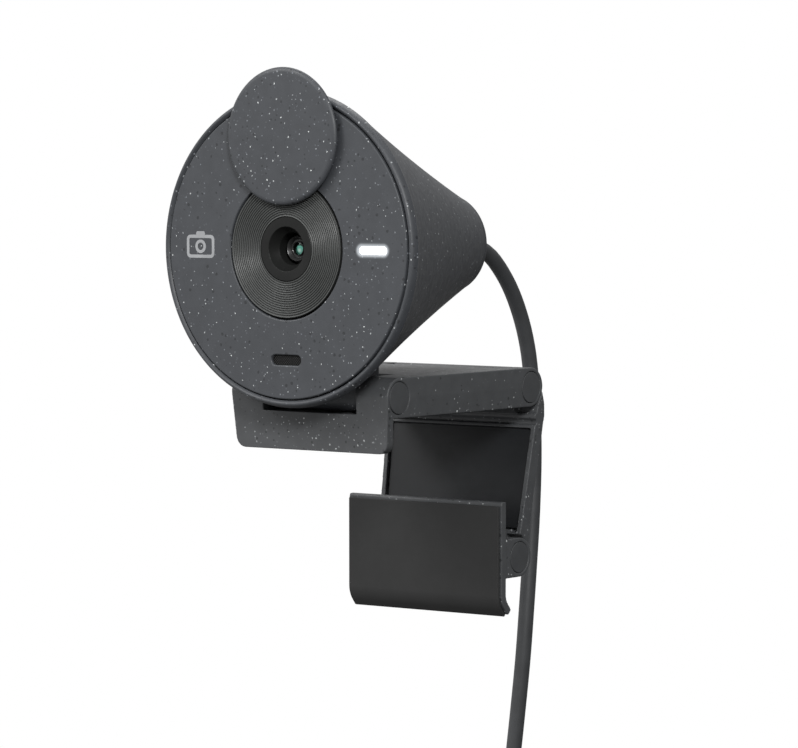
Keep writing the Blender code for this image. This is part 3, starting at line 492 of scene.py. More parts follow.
AXES = {
    "X": Vector((1, 0, 0)),
    "Y": Vector((0, 1, 0)),
    "Z": Vector((0, 0, 1)),
}
TURNS = {
    "X": Matrix(((0, 0, 1), (1, 0, 0), (0, 1, 0))),
    "Y": Matrix(((1, 0, 0), (0, 0, -1), (0, 1, 0))),
    "Z": Matrix.Identity(3),
}


def pushed(name, outlines, low, high, along="X", edge=0.0, angle=40):
    """Outlines pushed out between two planes, with edges rounded by edge. Outlines inside are holes."""
    curve = bpy.data.curves.new(name, "CURVE")
    curve.dimensions = "2D"
    curve.fill_mode = "BOTH"
    curve.extrude = (high - low) / 2 - edge
    curve.bevel_depth = edge
    curve.bevel_resolution = 2
    curve.offset = -edge
    for outline in outlines:
        spline = curve.splines.new("POLY")
        spline.points.add(len(outline) - 1)
        for point, (a, b) in zip(spline.points, outline):
            point.co = (a, b, 0.0, 1.0)
        spline.use_cyclic_u = True
    drawn = bpy.data.objects.new(name, curve)
    bpy.context.scene.collection.objects.link(drawn)
    bpy.context.view_layer.update()
    mesh = bpy.data.meshes.new_from_object(drawn.evaluated_get(bpy.context.evaluated_depsgraph_get()))
    bpy.data.objects.remove(drawn, do_unlink=True)
    shift = AXES[along] * (low + high) / 2
    mesh.transform(Matrix.Translation(shift) @ TURNS[along].to_4x4())
    obj = shown(name, cleaned(mesh), angle)
    flatten_ends(mesh, shift.normalized())
    return obj


def flatten_ends(mesh, direction):
    """Shades the faces square to a direction flat. A centred piece gives a zero one, and stays smooth."""
    for face in mesh.polygons:
        if abs(face.normal.dot(direction)) > 0.9999:
            face.use_smooth = False


def block(name, low, high, edge=0.0):
    outline = oblong(low[0], low[1], high[0], high[1])
    if edge:
        outline = rounded(outline, edge * 1.5)
    return pushed(name, [outline], low[2], high[2], "Z", edge)


def rod(name, start, end, radius, end_radius=None, sides=64, edge=0.0):
    """A straight round bar between two points, with its ends rounded by edge."""
    start, end = Vector(start), Vector(end)
    long = (end - start).length
    last = radius if end_radius is None else end_radius
    profile = [(0.0, 0.0), (radius, 0.0), (last, long), (0.0, long)]
    if edge:
        profile = [(0.0, 0.0)] + rounded(profile, [0, edge, edge, 0])[1:-1] + [(0.0, long)]
    obj = lathe(name, profile, (0.0, 0.0), sides)
    turn = Vector((0, 1, 0)).rotation_difference(end - start).to_matrix().to_4x4()
    obj.data.transform(Matrix.Translation(start) @ turn)
    return obj


def carved(obj, joins=(), cuts=(), trims=(), voxel=0.0, soft=4):
    """Adds, trims and cuts shapes, then softens every edge of the result by a fine remesh."""
    tools = []
    for operation, others in (("UNION", joins), ("INTERSECT", trims), ("DIFFERENCE", cuts)):
        for other in others:
            step = obj.modifiers.new(operation, "BOOLEAN")
            step.operation = operation
            step.object = other
            other.hide_render = True
            tools.append(other)
    if voxel:
        remesh = obj.modifiers.new("Remesh", "REMESH")
        remesh.mode = "VOXEL"
        remesh.voxel_size = voxel
        smooth = obj.modifiers.new("Smooth", "SMOOTH")
        smooth.factor = 0.5
        smooth.iterations = soft
        thin = obj.modifiers.new("Thin", "DECIMATE")
        thin.ratio = 0.25
    bpy.context.view_layer.update()
    mesh = bpy.data.meshes.new_from_object(obj.evaluated_get(bpy.context.evaluated_depsgraph_get()))
    obj.modifiers.clear()
    obj.data = mesh
    for tool in tools:
        bpy.data.objects.remove(tool, do_unlink=True)
    mesh.shade_smooth()
    if not voxel:
        mesh.set_sharp_from_angle(angle=math.radians(40))
    return obj


def settled(obj, body, look, *stands_for, own=None):
    """Gives a finished piece its material and its body, and hides the CAD nodes that it stands for."""
    obj.data.materials.clear()
    obj.data.materials.append(own or MATERIALS[look])
    if body:
        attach(obj, body)
    if stands_for:
        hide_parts(*stands_for)
    return obj


# ---------------------------------------------------------------- head

def cone_radius(y):
    t = (y - CONE_FRONT_Y) / (HEAD_BACK_Y - CONE_FRONT_Y)
    straight = CONE_FRONT_RADIUS + (CONE_BACK_RADIUS - CONE_FRONT_RADIUS) * t
    return straight - CONE_WAIST * 4 * t * (1 - t)


def body_shell():
    """The hollow cone with a rounded rim round the face, and the neck that sits in the clip's hinge."""
    wall = 1.7 * MM
    seat = FACE_Y + PLATE_THICK + 0.2 * MM
    crown = SEAM_RADIUS + 0.55 * MM
    lead = [(SEAM_RADIUS, seat), (SEAM_RADIUS, FACE_Y + 0.42 * MM),
            (SEAM_RADIUS + 0.05 * MM, FACE_Y + 0.34 * MM),
            (crown - 0.20 * MM, FACE_Y + 0.06 * MM), (crown - 0.12 * MM, FACE_Y + 0.02 * MM)]
    bead = []
    steepest = math.radians(62)
    for i in range(17):
        a = steepest * i / 16
        bead.append((crown + (RIM_RADIUS - crown) * math.sin(a) / math.sin(steepest),
                     FACE_Y + RIM_BULGE * (1 - math.cos(a)) / (1 - math.cos(steepest))))
    side = [(cone_radius(y), y) for y in
            (CONE_FRONT_Y + (CONE_BACK_Y - CONE_FRONT_Y) * i / 40 for i in range(41))]
    back = arc((HEAD_BACK_Y - 1.0 * MM, cone_radius(CONE_BACK_Y) - 1.0 * MM), 1.0 * MM, 90, 0, 8)
    end = [(r, y) for y, r in back][1:]
    hole = [(2.5 * MM, HEAD_BACK_Y), (2.5 * MM, CONE_BACK_Y - wall)]
    inside = [(cone_radius(y) - wall, y) for y in
              (CONE_BACK_Y - wall + (seat - CONE_BACK_Y + wall) * i / 20 for i in range(21))]
    shell = lathe("body_shell", lead + bead + side + end + hole + inside, sides=256, closed=True, angle=30)
    settled(shell, "head", "body_plastic")
    barrel = arc((TILT_Y, AXIS_Z), NECK_BARREL, 182, 348, 40)
    outline = [(NECK_FRONT_Y, 11.0 * MM), (NECK_FRONT_Y, AXIS_Z + 0.9 * MM)] + barrel
    outline += [(NECK_BACK_Y, AXIS_Z + 0.8 * MM), (NECK_BACK_Y, 11.0 * MM)]
    neck = pushed("neck", [outline], -NECK_HALF, NECK_HALF, "X", 0.25 * MM)
    bore = rod("neck_bore", (-20 * MM, TILT_Y, AXIS_Z), (20 * MM, TILT_Y, AXIS_Z), PIN_HOLE)
    settled(carved(neck, cuts=[bore]), "head", "body_plastic")
    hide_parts("rear_housing")


def face():
    """The speckled plate, and the light window and microphone cloth let into it."""
    seam = 0.22 * MM
    middle = (0.0, LENS_Z)
    outlines = [
        arc(middle, SEAM_RADIUS - seam, 0, 360, 256)[:-1],
        arc(middle, SURROUND_RADIUS + 0.32 * MM, 0, 360, 160)[:-1],
        pill((LIGHT_X, LENS_Z), PILL_LONG - 0.5 * MM, PILL_TALL - 0.25 * MM),
        pill((0.0, MIC_Z), PILL_LONG, PILL_TALL),
    ]
    plate = pushed("face_plate", outlines, FACE_Y, FACE_Y + PLATE_THICK, "Y", 0.24 * MM)
    settled(plate, "head", "face_plastic", "front_plate")
    light = pushed("light_window", [pill((LIGHT_X, LENS_Z), PILL_LONG - 0.6 * MM, PILL_TALL - 0.35 * MM)],
                   FACE_Y + 0.05 * MM, FACE_Y + 2.9 * MM, "Y", 0.12 * MM)
    settled(light, "head", "light_lens", "light_guide")
    cloth = pushed("mic_cloth", [pill((0.0, MIC_Z), PILL_LONG - 0.1 * MM, PILL_TALL - 0.1 * MM)],
                   FACE_Y + 0.45 * MM, FACE_Y + 0.75 * MM, "Y")
    settled(cloth, "head", "black_plastic", "microphone_mesh", own=MIC_CLOTH)


def surround():
    """The ring round the lens, with fine concentric grooves."""
    fine = 12
    back = FACE_Y + PLATE_THICK
    outline = [(SURROUND_HOLE, back), (SURROUND_HOLE, FACE_Y + SURROUND_SUNK)]
    for i in range(GROOVES * fine + 1):
        t = i / (GROOVES * fine)
        ripple = 0.14 * MM * (0.5 - 0.5 * math.cos(2 * math.pi * i / fine)) ** 0.8
        radius = GROOVES_FROM + (GROOVES_TO - GROOVES_FROM) * t
        outline.append((radius, FACE_Y + SURROUND_SUNK * (1 - t) + ripple))
    outline += [(SURROUND_RADIUS - 0.12 * MM, FACE_Y), (SURROUND_RADIUS - 0.03 * MM, FACE_Y + 0.03 * MM),
                (SURROUND_RADIUS, FACE_Y + 0.12 * MM), (SURROUND_RADIUS, back)]
    ring = lathe("lens_ring", outline, closed=True, angle=60)
    settled(ring, "head", "ring_plastic", "lens_surround")


# The barrel from its bore, over its two lips, to its back: radius and depth, in millimetres.
BARREL_PROFILE = [
    (1.06, 1.0), (1.06, 0.38), (1.12, 0.32), (1.18, 0.34), (1.24, 0.75), (1.55, 0.72),
    (1.90, 0.10), (1.98, 0.02), (2.06, 0.05), (2.12, 0.18), (2.16, 1.2), (2.45, 1.3),
    (2.45, 5.9), (1.6, 5.9), (1.4, 2.0), (1.4, 1.0),
]


def lens():
    """The dark funnel in the ring, and the lens at its end."""
    sunk = FACE_Y + SURROUND_SUNK
    outer = SURROUND_HOLE - 0.1 * MM
    back = FACE_Y + 4.2 * MM
    deep = FACE_Y + FUNNEL_DEEP
    hood = [(outer, back), (outer, sunk + 0.06 * MM), (outer - 0.06 * MM, sunk)]
    hood += [(FUNNEL_MOUTH + 0.12 * MM * (1 - math.sin(a)), sunk + 0.16 * MM * (1 - math.cos(a)))
             for a in (math.radians(11 * i) for i in range(8))]
    hood += [(FUNNEL_THROAT + 0.06 * MM, deep - 0.05 * MM), (FUNNEL_THROAT, deep + 0.05 * MM),
             (FUNNEL_THROAT, back)]
    settled(lathe("lens_funnel", hood, closed=True, angle=30), "head", "black_plastic", "lens_hood")
    front = BARREL_FRONT
    barrel = [(radius * MM, front + depth * MM) for radius, depth in BARREL_PROFILE]
    settled(lathe("lens_tube", barrel, closed=True, angle=30), "head", "black_plastic", "lens_barrel",
            own=satin("barrel_plastic", 0.020, (1.0, 1.0, 1.0), 0.35, 0.5))
    dome = [(1.35 * MM * math.sin(a), front + 1.05 * MM - 0.55 * MM * math.cos(a))
            for a in (math.radians(7.5 * i) for i in range(13))]
    dome += [(1.35 * MM, front + 1.5 * MM), (0.0, front + 1.5 * MM)]
    settled(lathe("lens_dome", dome, sides=96), "head", "lens_glass", "front_lens")


def shutter():
    """The turning cover: a thin, faintly domed disc with a soft front edge, cut back behind it."""
    front = FACE_Y - SHUTTER_GAP - SHUTTER_THICK
    back = FACE_Y - SHUTTER_GAP
    edge, drop = 0.85 * MM, 0.6 * MM
    flat = SHUTTER_RADIUS - edge
    dome = [(flat * i / 20, front + 0.10 * MM * (i / 20) ** 2 - 0.10 * MM) for i in range(20)]
    round_edge = [(flat + edge * math.sin(a), front + drop * (1 - math.cos(a)))
                  for a in (math.radians(6 * i) for i in range(16))]
    tail = [(SHUTTER_RADIUS - 0.04 * MM, front + 0.7 * MM), (SHUTTER_RADIUS - 0.35 * MM, back), (0.0, back)]
    disc = lathe("shutter_cover", dome + round_edge + tail, (0.0, SHUTTER_Z), angle=45)
    settled(disc, "shutter", "face_plastic", "shutter_disc")


def mark():
    """A plain outline of a camera, printed on the face at the left of the lens."""
    left, middle = -18.3 * MM, LENS_Z + 0.2 * MM
    wide, tall, line = 6.0 * MM, 3.9 * MM, 0.55 * MM
    shapes = []
    for inset in (0.0, line):
        x, z = wide / 2 - inset, tall / 2 - inset
        shapes.append(rounded(oblong(left - x, middle - z, left + x, middle + z), 0.9 * MM - inset))
    for radius in (1.15 * MM, 0.62 * MM):
        shapes.append(arc((left, middle), radius, 0, 360, 40)[:-1])
    shapes.append(rounded([(left - 1.1 * MM, middle + tall / 2), (left + 1.1 * MM, middle + tall / 2),
                           (left + 0.8 * MM, middle + tall / 2 + 0.6 * MM),
                           (left - 0.8 * MM, middle + tall / 2 + 0.6 * MM)], 0.2 * MM))
    thin = 0.02 * MM
    sign = pushed("camera_sign", shapes, FACE_Y - thin, FACE_Y + thin, "Y")
    settled(sign, "head", "face_plastic", own=satin("print_ink", 0.235, (0.98, 1.0, 1.03), 0.5, 0.3))


# ---------------------------------------------------------------- clip

VOXEL = 0.11 * MM
TOOL_REACH = 60 * MM


def bar(y, z, radius, low=-TOOL_REACH, high=TOOL_REACH):
    return rod("tool", (low, y, z), (high, y, z), radius, sides=128)


def cap_seats(y, z, half):
    """Cutters for a pin's hole and for the wider seats of its end caps."""
    cutters = [bar(y, z, PIN_HOLE)]
    for side in (-1, 1):
        low, high = sorted((side * (half - CAP_DEEP), side * (half + 5 * MM)))
        cutters.append(bar(y, z, CAP_BORE, low, high))
    return cutters


def end_caps(name, body, y, z, half):
    for side, word in ((-1, "left"), (1, "right")):
        start = (side * (half - CAP_DEEP), y, z)
        end = (side * (half - CAP_SUNK), y, z)
        cap = rod(f"{name}_cap_{word}", start, end, CAP_RADIUS, sides=96, edge=0.12 * MM)
        settled(cap, body, "clip_plastic", f"{name}_pin_cap_{word}", own=CAP_PLASTIC)


def lip_front_shape():
    """The lip's outline from the front, narrowing downwards, as a cutter for the arm."""
    drop = AXIS_Z - LIP_BOTTOM
    half = ARM_HALF - drop * math.tan(LIP_TAPER)
    right = arc((half - LIP_CORNER, LIP_BOTTOM + LIP_CORNER), LIP_CORNER, -4, -90, 24)
    left = [(-x, z) for x, z in reversed(right)]
    high = AXIS_Z + 20 * MM
    outline = [(ARM_HALF, high), (ARM_HALF, AXIS_Z)] + right + left
    outline += [(-ARM_HALF, AXIS_Z), (-ARM_HALF, high)]
    return pushed("tool", [outline], -30 * MM, 50 * MM, "Y")


def arm():
    """The clip's arm with its front lip, two hinge ears and the notch that the head's neck sits in."""
    drop = AXIS_Z - LIP_BOTTOM
    lip_front = TILT_Y - KNUCKLE + drop * math.tan(LIP_LEAN)
    inner = lip_front + LIP_THICK
    rise = (ARM_BOTTOM - LIP_BOTTOM) * math.tan(LIP_LEAN)
    outline = [(lip_front, LIP_BOTTOM)] + arc((TILT_Y, AXIS_Z), KNUCKLE, 180 - 4.5, 90, 48)
    outline += arc((LEG_Y, AXIS_Z), KNUCKLE, 90, -90, 72)
    outline += [(inner - rise, ARM_BOTTOM), (inner, LIP_BOTTOM)]
    solid = pushed("arm_body", [outline], -ARM_HALF - MM, ARM_HALF + MM)
    slot = NECK_HALF + 0.25 * MM
    low = AXIS_Z - NECK_BARREL - 0.3 * MM
    notch = [(TILT_Y - 8 * MM, low), (TILT_Y, low)]
    notch += arc((TILT_Y, AXIS_Z), NECK_BARREL + 0.3 * MM, -70, -20, 16)
    notch += [(TILT_Y + 4.5 * MM, AXIS_Z), (TILT_Y + 4.5 * MM, AXIS_Z + 2.3 * MM),
              (TILT_Y + 7.7 * MM, ARM_TOP), (TILT_Y + 7.7 * MM, ARM_TOP + 2 * MM),
              (TILT_Y - 8 * MM, ARM_TOP + 2 * MM)]
    rear = LEG_Y - KNUCKLE - 0.6 * MM
    grip_low, grip_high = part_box("arm_grip_strip")
    cuts = [
        pushed("tool", [notch], -slot, slot),
        block("tool", (-EAR_INNER, rear, -2 * MM), (EAR_INNER, LEG_Y + 9 * MM, ARM_TOP + 2 * MM)),
        block("tool", (grip_low.x - 0.2 * MM, grip_low.y - 0.2 * MM, -MM),
              (grip_high.x + 0.2 * MM, grip_high.y + 0.2 * MM, ARM_BOTTOM + 0.3 * MM)),
    ]
    for y in (TILT_Y, LEG_Y):
        cuts += cap_seats(y, AXIS_Z, ARM_HALF)
    carved(solid, trims=[lip_front_shape()], cuts=cuts, voxel=VOXEL)
    settled(solid, "clip_arm", "clip_plastic", "clip_arm")
    end_caps("tilt", "clip_arm", TILT_Y, AXIS_Z, ARM_HALF)
    end_caps("leg", "clip_arm", LEG_Y, AXIS_Z, ARM_HALF)


def leg_point(offset, z):
    """A point on the leaning leg, at a depth behind its front face and a height."""
    lean = (z - AXIS_Z) * math.tan(LEG_LEAN)
    return (LEG_Y + (LEG_FACE_OFFSET + offset) / math.cos(LEG_LEAN) + lean, z)


def leg_half(z):
    return ARM_HALF - 0.1 * MM - max(0.0, AXIS_Z - z) * math.tan(LEG_TAPER)


def leg_shape(inset=0.0):
    high, low = 6 * MM, FOOT_Z - 6 * MM
    upper, lower = leg_half(high) - inset, leg_half(low) - inset
    outline = [(upper, high), (lower, low), (-lower, low), (-upper, high)]
    return pushed("tool", [outline], 10 * MM, 50 * MM, "Y")


def leg_sheet(front, back, top, low):
    """A slab that lies along the leg, between two depths behind its front face."""
    outline = [leg_point(front, top), leg_point(back, top), leg_point(back, low), leg_point(front, low)]
    return pushed("tool", [outline], -ARM_HALF, ARM_HALF)


def leg():
    """The folding leg with a knuckle at each end, and the dark panel let into its front."""
    outline = arc((LEG_Y, AXIS_Z), KNUCKLE + 0.3 * MM, -12, -42, 16)
    outline += [(31.9 * MM, -0.75 * MM), (31.45 * MM, -0.95 * MM), (31.25 * MM, -1.30 * MM),
                (31.35 * MM, -1.75 * MM), (31.80 * MM, -2.15 * MM), (32.0 * MM, -2.60 * MM),
                (31.95 * MM, -2.85 * MM), leg_point(0.0, -2.95 * MM), leg_point(0.0, FOOT_Z + 5.4 * MM)]
    outline += arc((FOOT_Y, FOOT_Z), CLEAR_RADIUS, 68, 30, 16)
    outline += [leg_point(LEG_THICK, FOOT_Z + 1.6 * MM), leg_point(LEG_THICK, -3.6 * MM),
                (34.15 * MM, -1.4 * MM), (34.1 * MM, 0.3 * MM), (33.75 * MM, 1.6 * MM)]
    solid = pushed("leg_body", [outline], -ARM_HALF - MM, ARM_HALF + MM)
    hollow = leg_sheet(-3 * MM, POCKET_DEEP, POCKET_TOP, POCKET_LOW - 1.6 * MM)
    pocket = carved(hollow, trims=[leg_shape(RAIL_WIDE)])
    carved(solid, trims=[leg_shape()], cuts=[pocket])
    upper = arc((LEG_Y, AXIS_Z), KNUCKLE, 10, 240, 60)
    upper += [(31.6 * MM, -1.2 * MM), (33.2 * MM, -1.0 * MM), (33.5 * MM, 1.5 * MM)]
    lower = arc((FOOT_Y, FOOT_Z), BARREL_RADIUS, 110, 380, 72)
    rear = LEG_THICK - 0.3 * MM
    lower += [leg_point(rear, FOOT_Z + 3.4 * MM), leg_point(rear, FOOT_Z + 5.9 * MM),
              leg_point(POCKET_DEEP + 0.2 * MM, FOOT_Z + 5.9 * MM), leg_point(1.3 * MM, FOOT_Z + 4.4 * MM)]
    carved(solid, joins=[pushed("tool", [upper], -BARREL_HALF, BARREL_HALF),
                         pushed("tool", [lower], -BARREL_HALF, BARREL_HALF)],
           cuts=[bar(LEG_Y, AXIS_Z, PIN_HOLE), bar(FOOT_Y, FOOT_Z, PIN_HOLE)], voxel=VOXEL, soft=3)
    settled(solid, "leg", "clip_plastic", "leg_frame")
    panel = leg_sheet(POCKET_DEEP - 0.9 * MM, POCKET_DEEP - 0.3 * MM,
                      POCKET_TOP - 0.2 * MM, POCKET_LOW - 0.8 * MM)
    panel.name = "leg_panel"
    carved(panel, trims=[leg_shape(RAIL_WIDE + 0.24 * MM)])
    settled(panel, "leg", "inlay_plastic", "leg_inlay")


def foot_line(offset, tail, steps=20):
    """The foot plate's section: straight down, round the bend, then a short tail."""
    low = FOOT_TOP - FOOT_STRAIGHT
    centre = (FOOT_FRONT_Y + FOOT_BEND_RADIUS, low)
    points = [(FOOT_FRONT_Y + offset, FOOT_TOP)]
    points += arc(centre, FOOT_BEND_RADIUS - offset, 180, 180 + math.degrees(FOOT_BEND), steps)
    y, z = points[-1]
    points.append((y + tail * math.sin(FOOT_BEND), z - tail * math.cos(FOOT_BEND)))
    return points


def band(front, back, corner):
    """A closed strip between two lines, with its four corners rounded."""
    outline = front + list(reversed(back))
    radii = [0.0] * len(outline)
    for i in (0, len(front) - 1, len(front), len(outline) - 1):
        radii[i] = corner
    return rounded(outline, radii)


def foot():
    """The foot plate with its two lugs, and the rubber pad on its front."""
    strip = band(foot_line(0.0, FOOT_TAIL), foot_line(FOOT_THICK, FOOT_TAIL - 0.15 * MM), 0.45 * MM)
    plate = pushed("foot_body", [strip], -FOOT_HALF, FOOT_HALF, "X")
    near = FOOT_FRONT_Y + FOOT_THICK - 0.3 * MM
    lug = arc((FOOT_Y, FOOT_Z), KNUCKLE, -90, 90, 72) + [(near, FOOT_Z + KNUCKLE), (near, FOOT_Z - KNUCKLE)]
    lugs = []
    for side in (-1, 1):
        low, high = sorted((side * EAR_INNER, side * (FOOT_HALF - 0.05 * MM)))
        lugs.append(pushed("tool", [lug], low, high))
    carved(plate, joins=lugs, cuts=cap_seats(FOOT_Y, FOOT_Z, FOOT_HALF), voxel=VOXEL)
    settled(plate, "foot", "clip_plastic", "foot_plate")
    end_caps("foot", "foot", FOOT_Y, FOOT_Z, FOOT_HALF)
    front = foot_line(-0.15 * MM - PAD_THICK, FOOT_TAIL - 0.3 * MM)
    back = foot_line(-0.15 * MM, FOOT_TAIL - 0.3 * MM)
    front[0] = (front[0][0], front[0][1] - 0.7 * MM)
    back[0] = (back[0][0], back[0][1] - 0.7 * MM)
    pad = pushed("foot_rubber", [band(front, back, 0.18 * MM)], -PAD_HALF, PAD_HALF, "X", 0.18 * MM)
    settled(pad, "foot", "pad_rubber", "foot_pad")


# ---------------------------------------------------------------- cable

def smooth_line(points, step):
    """Points about a step apart on a smooth curve through the given ones."""
    ends = [2 * points[0] - points[1]] + points + [2 * points[-1] - points[-2]]
    fine = []
    for i in range(1, len(ends) - 2):
        before, here, there, after = ends[i - 1:i + 3]
        count = max(2, round((there - here).length / step))
        for k in range(count):
            t = k / count
            fine.append(0.5 * (2 * here + (there - before) * t
                               + (2 * before - 5 * here + 4 * there - after) * t * t
                               + (3 * here - before - 3 * there + after) * t ** 3))
    fine.append(points[-1])
    return fine


def ease(value, low, high):
    t = min(1.0, max(0.0, (value - low) / (high - low)))
    return t * t * (3 - 2 * t)


def coil_slots():
    """(radius, layer) of each turn, from the outside in, back and forth across the bundle."""
    slots = []
    for i, radius in enumerate(COIL_RADII):
        layers = COIL_LAYERS if i % 2 == 0 else tuple(reversed(COIL_LAYERS))
        slots += [(radius, layer) for layer in layers]
    return slots


def coil_point(angle):
    """A point of the wound cable at an angle that grows from START_ANGLE, in degrees."""
    slots = coil_slots()
    turn = int((angle - STEP_FROM) // 360)
    share = ease((angle - STEP_FROM) % 360, 0.0, STEP_TO - STEP_FROM)
    if turn < 0:
        turn, share = 0, 0.0
    before = (RUN_IN_RADIUS, slots[0][1]) if turn == 0 else slots[turn - 1]
    radius = before[0] + (slots[turn][0] - before[0]) * share
    layer = before[1] + (slots[turn][1] - before[1]) * share
    if angle < STEP_FROM:
        layer *= ease(angle, START_ANGLE - 8, STEP_FROM)
    last = 360.0 * COIL_TURNS
    layer += (PLUG_LAYER - layer) * ease(angle, last + 35, last + 115)
    radius += (PLUG_RADIUS - radius) * ease(angle, last + 95, last + PLUG_ANGLE)
    turned = math.radians(angle)
    return COIL_CENTRE + Vector((radius * math.cos(turned), layer, radius * math.sin(turned))) * MM


def cable_line():
    """The cable's middle line: the hanging run, the coil and the turn into the plug."""
    run = [Vector(p) * MM for p in CABLE_ROUTE]
    last = 360.0 * COIL_TURNS + PLUG_ANGLE
    angle, wound = START_ANGLE, []
    while angle < last:
        wound.append(coil_point(angle))
        angle += 9.0
    wound.append(coil_point(last))
    wound.append(Vector((PLUG_X, PLUG_Y, PLUG_TOP - 1.5 * MM)))
    return smooth_line(run + wound, 1.6 * MM)


def tube(name, line, radius, sides=20):
    """A round tube along a line, with closed ends."""
    verts, faces = [], []
    side = Vector((1.0, 0.0, 0.0))
    for i, point in enumerate(line):
        ahead = (line[min(i + 1, len(line) - 1)] - line[max(i - 1, 0)]).normalized()
        side = (side - ahead * side.dot(ahead)).normalized()
        up = ahead.cross(side)
        for k in range(sides):
            a = 2 * math.pi * k / sides
            verts.append(point + (side * math.cos(a) + up * math.sin(a)) * radius)
    for i in range(len(line) - 1):
        for k in range(sides):
            j = (k + 1) % sides
            a, b = i * sides, (i + 1) * sides
            faces.append((a + k, a + j, b + j, b + k))
    faces.append(tuple(reversed(range(sides))))
    faces.append(tuple(range(len(verts) - sides, len(verts))))
    mesh = bpy.data.meshes.new(name)
    mesh.from_pydata(verts, [], faces)
    return shown(name, cleaned(mesh), 60)


def plug():
    """The ribbed strain relief and the grip of the plug."""
    relief = 9 * MM
    half_wide, half_deep, long = 7.6 * MM, 4.0 * MM, 23 * MM
    profile = []
    ribs = 7
    for i in range(ribs * 4 + 1):
        t = i / (ribs * 4)
        groove = 0.18 * MM * (1 - math.cos(2 * math.pi * i / 4))
        profile.append((2.0 * MM + 0.8 * MM * t - groove * (0.15 < t < 0.9), relief * t))
    profile = [(0.0, 0.0)] + profile + [(0.0, relief)]
    neck = lathe("plug_neck", profile, (0.0, 0.0), 48)
    downwards = Matrix.Rotation(-math.pi / 2, 4, "X")
    neck.data.transform(Matrix.Translation((PLUG_X, PLUG_Y, PLUG_TOP)) @ downwards)
    settled(neck, "clip_arm", "cable_rubber", "plug_strain_relief")
    top = PLUG_TOP - relief - 0.1 * MM
    grip = block("plug_grip", (PLUG_X - half_wide, PLUG_Y - half_deep, top - long),
                 (PLUG_X + half_wide, PLUG_Y + half_deep, top), 1.0 * MM)
    settled(grip, "clip_arm", "cable_rubber", "usb_plug_body")
    return [neck, grip]


def cable():
    """The cord from the head to the plug, with its tie."""
    line = cable_line()
    cord = tube("cable_run", line, CABLE_RADIUS)
    settled(cord, None, "cable_rubber", "cable", "cable_coil")
    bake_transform(cord)
    on_it = plug()
    low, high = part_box("coil_tie")
    thick = 0.7 * MM
    tie_outer = rounded(oblong(low.x, low.y, high.x, high.y), 1.2 * MM)
    tie_inner = rounded(oblong(low.x + thick, low.y + thick, high.x - thick, high.y - thick), 0.8 * MM)
    tie = pushed("cable_tie", [tie_outer, tie_inner], low.z, high.z, "Z", 0.2 * MM)
    settled(tie, "clip_arm", "black_plastic", "coil_tie")


# ---------------------------------------------------------------- CAD nodes that stay

def finish_nodes():
    """Gives every CAD node its procedural material."""
    for part in frame["record"]["subparts"]:
        node = frame["nodes"][part["node"]]
        node.data.materials.clear()
        node.data.materials.append(MATERIALS[part["material_slot"]])


# ---------------------------------------------------------------- stage

FLOOR_Z = -0.170
CAMERA_SPOT = Vector((0.42437, -0.55461, 0.04625))
CAMERA_AIM = Vector((0.01101, -0.00129, 0.00731))
CAMERA_LENS = 185.6
CAMERA_ROLL = math.radians(-0.036)


def stage():
    """A pale floor that sends no light back up onto the object."""
    n = Nodes("floor")
    tone = n.noise(n.place(), 12.0, 3.0)
    n.surface(n.mix(tone, rgb(0.90), rgb(0.93)), 0.8)
    shape = bmesh.new()
    bmesh.ops.create_circle(shape, cap_ends=True, segments=128, radius=0.6)
    mesh = bpy.data.meshes.new("floor")
    shape.to_mesh(mesh)
    shape.free()
    floor = bpy.data.objects.new("floor", mesh)
    bpy.context.scene.collection.objects.link(floor)
    floor.location = (0, 0.03, FLOOR_Z)
    floor.data.materials.append(n.material)
    floor.visible_diffuse = False
    floor.visible_glossy = False


SKY_LIGHT = Vector((-0.50, -0.38, 0.78)).normalized()
SKY_LOW = 0.08
SKY_HIGH = 1.10

# Name, place, aim, size across and power of each lamp.
LAMPS = (
    ("front", (0.50, -0.45, 0.32), (0, 0, 0.01), 0.16, 5.3),
    ("key", (-0.40, -0.50, 0.48), (0, 0, 0.01), 0.3, 4.0),
    ("top", (-0.15, 0.33, 0.65), (0, 0.01, 0.0), 0.4, 2.2),
)


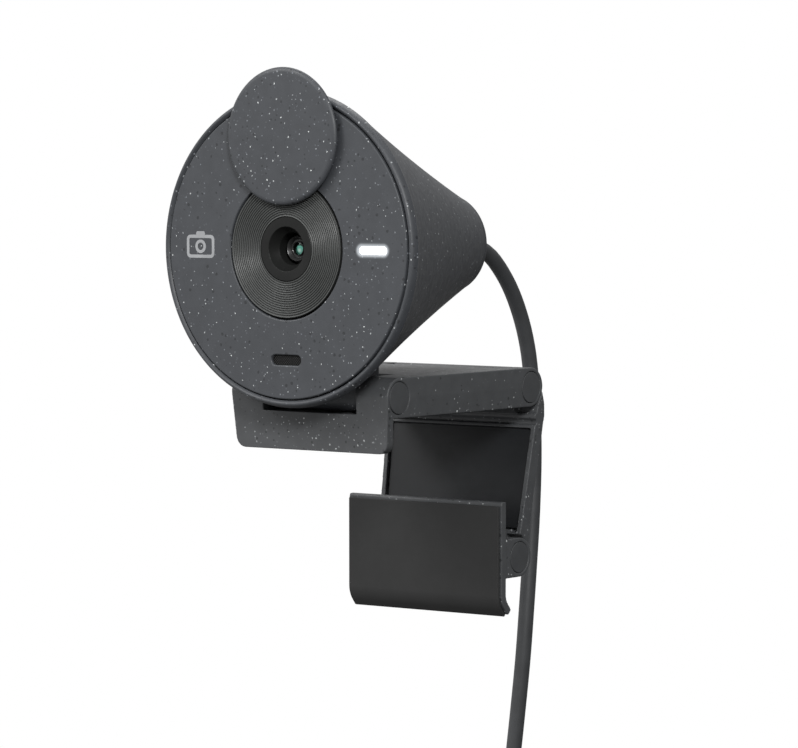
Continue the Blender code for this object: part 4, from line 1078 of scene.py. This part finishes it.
def world():
    """A white backdrop, and soft light that comes mostly from above and from the front left."""
    sky = bpy.data.worlds.new("studio")
    bpy.context.scene.world = sky
    sky.use_nodes = True
    tree = sky.node_tree
    back = tree.nodes["Background"]
    back.inputs[0].default_value = (1.0, 1.0, 1.0, 1.0)
    place = tree.nodes.new("ShaderNodeTexCoord")
    facing = tree.nodes.new("ShaderNodeVectorMath")
    facing.operation = "DOT_PRODUCT"
    facing.inputs[1].default_value = SKY_LIGHT
    tree.links.new(place.outputs["Generated"], facing.inputs[0])
    fade = tree.nodes.new("ShaderNodeMapRange")
    for index, value in ((1, -0.7), (2, 1.0), (3, SKY_LOW), (4, SKY_HIGH)):
        fade.inputs[index].default_value = value
    tree.links.new(facing.outputs["Value"], fade.inputs[0])
    tree.links.new(fade.outputs[0], back.inputs[1])
    white = tree.nodes.new("ShaderNodeBackground")
    white.inputs[1].default_value = 1.0
    white.inputs[0].default_value = (1.0, 1.0, 1.0, 1.0)
    path = tree.nodes.new("ShaderNodeLightPath")
    blend = tree.nodes.new("ShaderNodeMixShader")
    tree.links.new(path.outputs["Is Camera Ray"], blend.inputs[0])
    tree.links.new(back.outputs[0], blend.inputs[1])
    tree.links.new(white.outputs[0], blend.inputs[2])
    tree.links.new(blend.outputs[0], tree.nodes["World Output"].inputs[0])


def lamp(name, spot, aim, size, power):
    light = bpy.data.lights.new(name, "AREA")
    light.shape = "DISK"
    light.size = size
    light.energy = power
    obj = bpy.data.objects.new(name, light)
    bpy.context.scene.collection.objects.link(obj)
    obj.location = spot
    obj.rotation_mode = "QUATERNION"
    obj.rotation_quaternion = (Vector(aim) - Vector(spot)).to_track_quat("-Z", "Y")


def camera():
    data = bpy.data.cameras.new("camera")
    data.sensor_width = 36.0
    data.lens = CAMERA_LENS
    data.clip_start = 0.01
    obj = bpy.data.objects.new("camera", data)
    bpy.context.scene.collection.objects.link(obj)
    look = (CAMERA_AIM - CAMERA_SPOT).to_track_quat("-Z", "Y").to_matrix().to_4x4()
    obj.matrix_world = Matrix.Translation(CAMERA_SPOT) @ look @ Matrix.Rotation(CAMERA_ROLL, 4, "Z")
    bpy.context.scene.camera = obj


# ---------------------------------------------------------------- build

finish_nodes()
body_shell()
face()
surround()
lens()
shutter()
mark()
arm()
leg()
foot()
cable()
stage()
world()
for settings in LAMPS:
    lamp(*settings)
camera()
bpy.context.scene.view_settings.view_transform = "Standard"
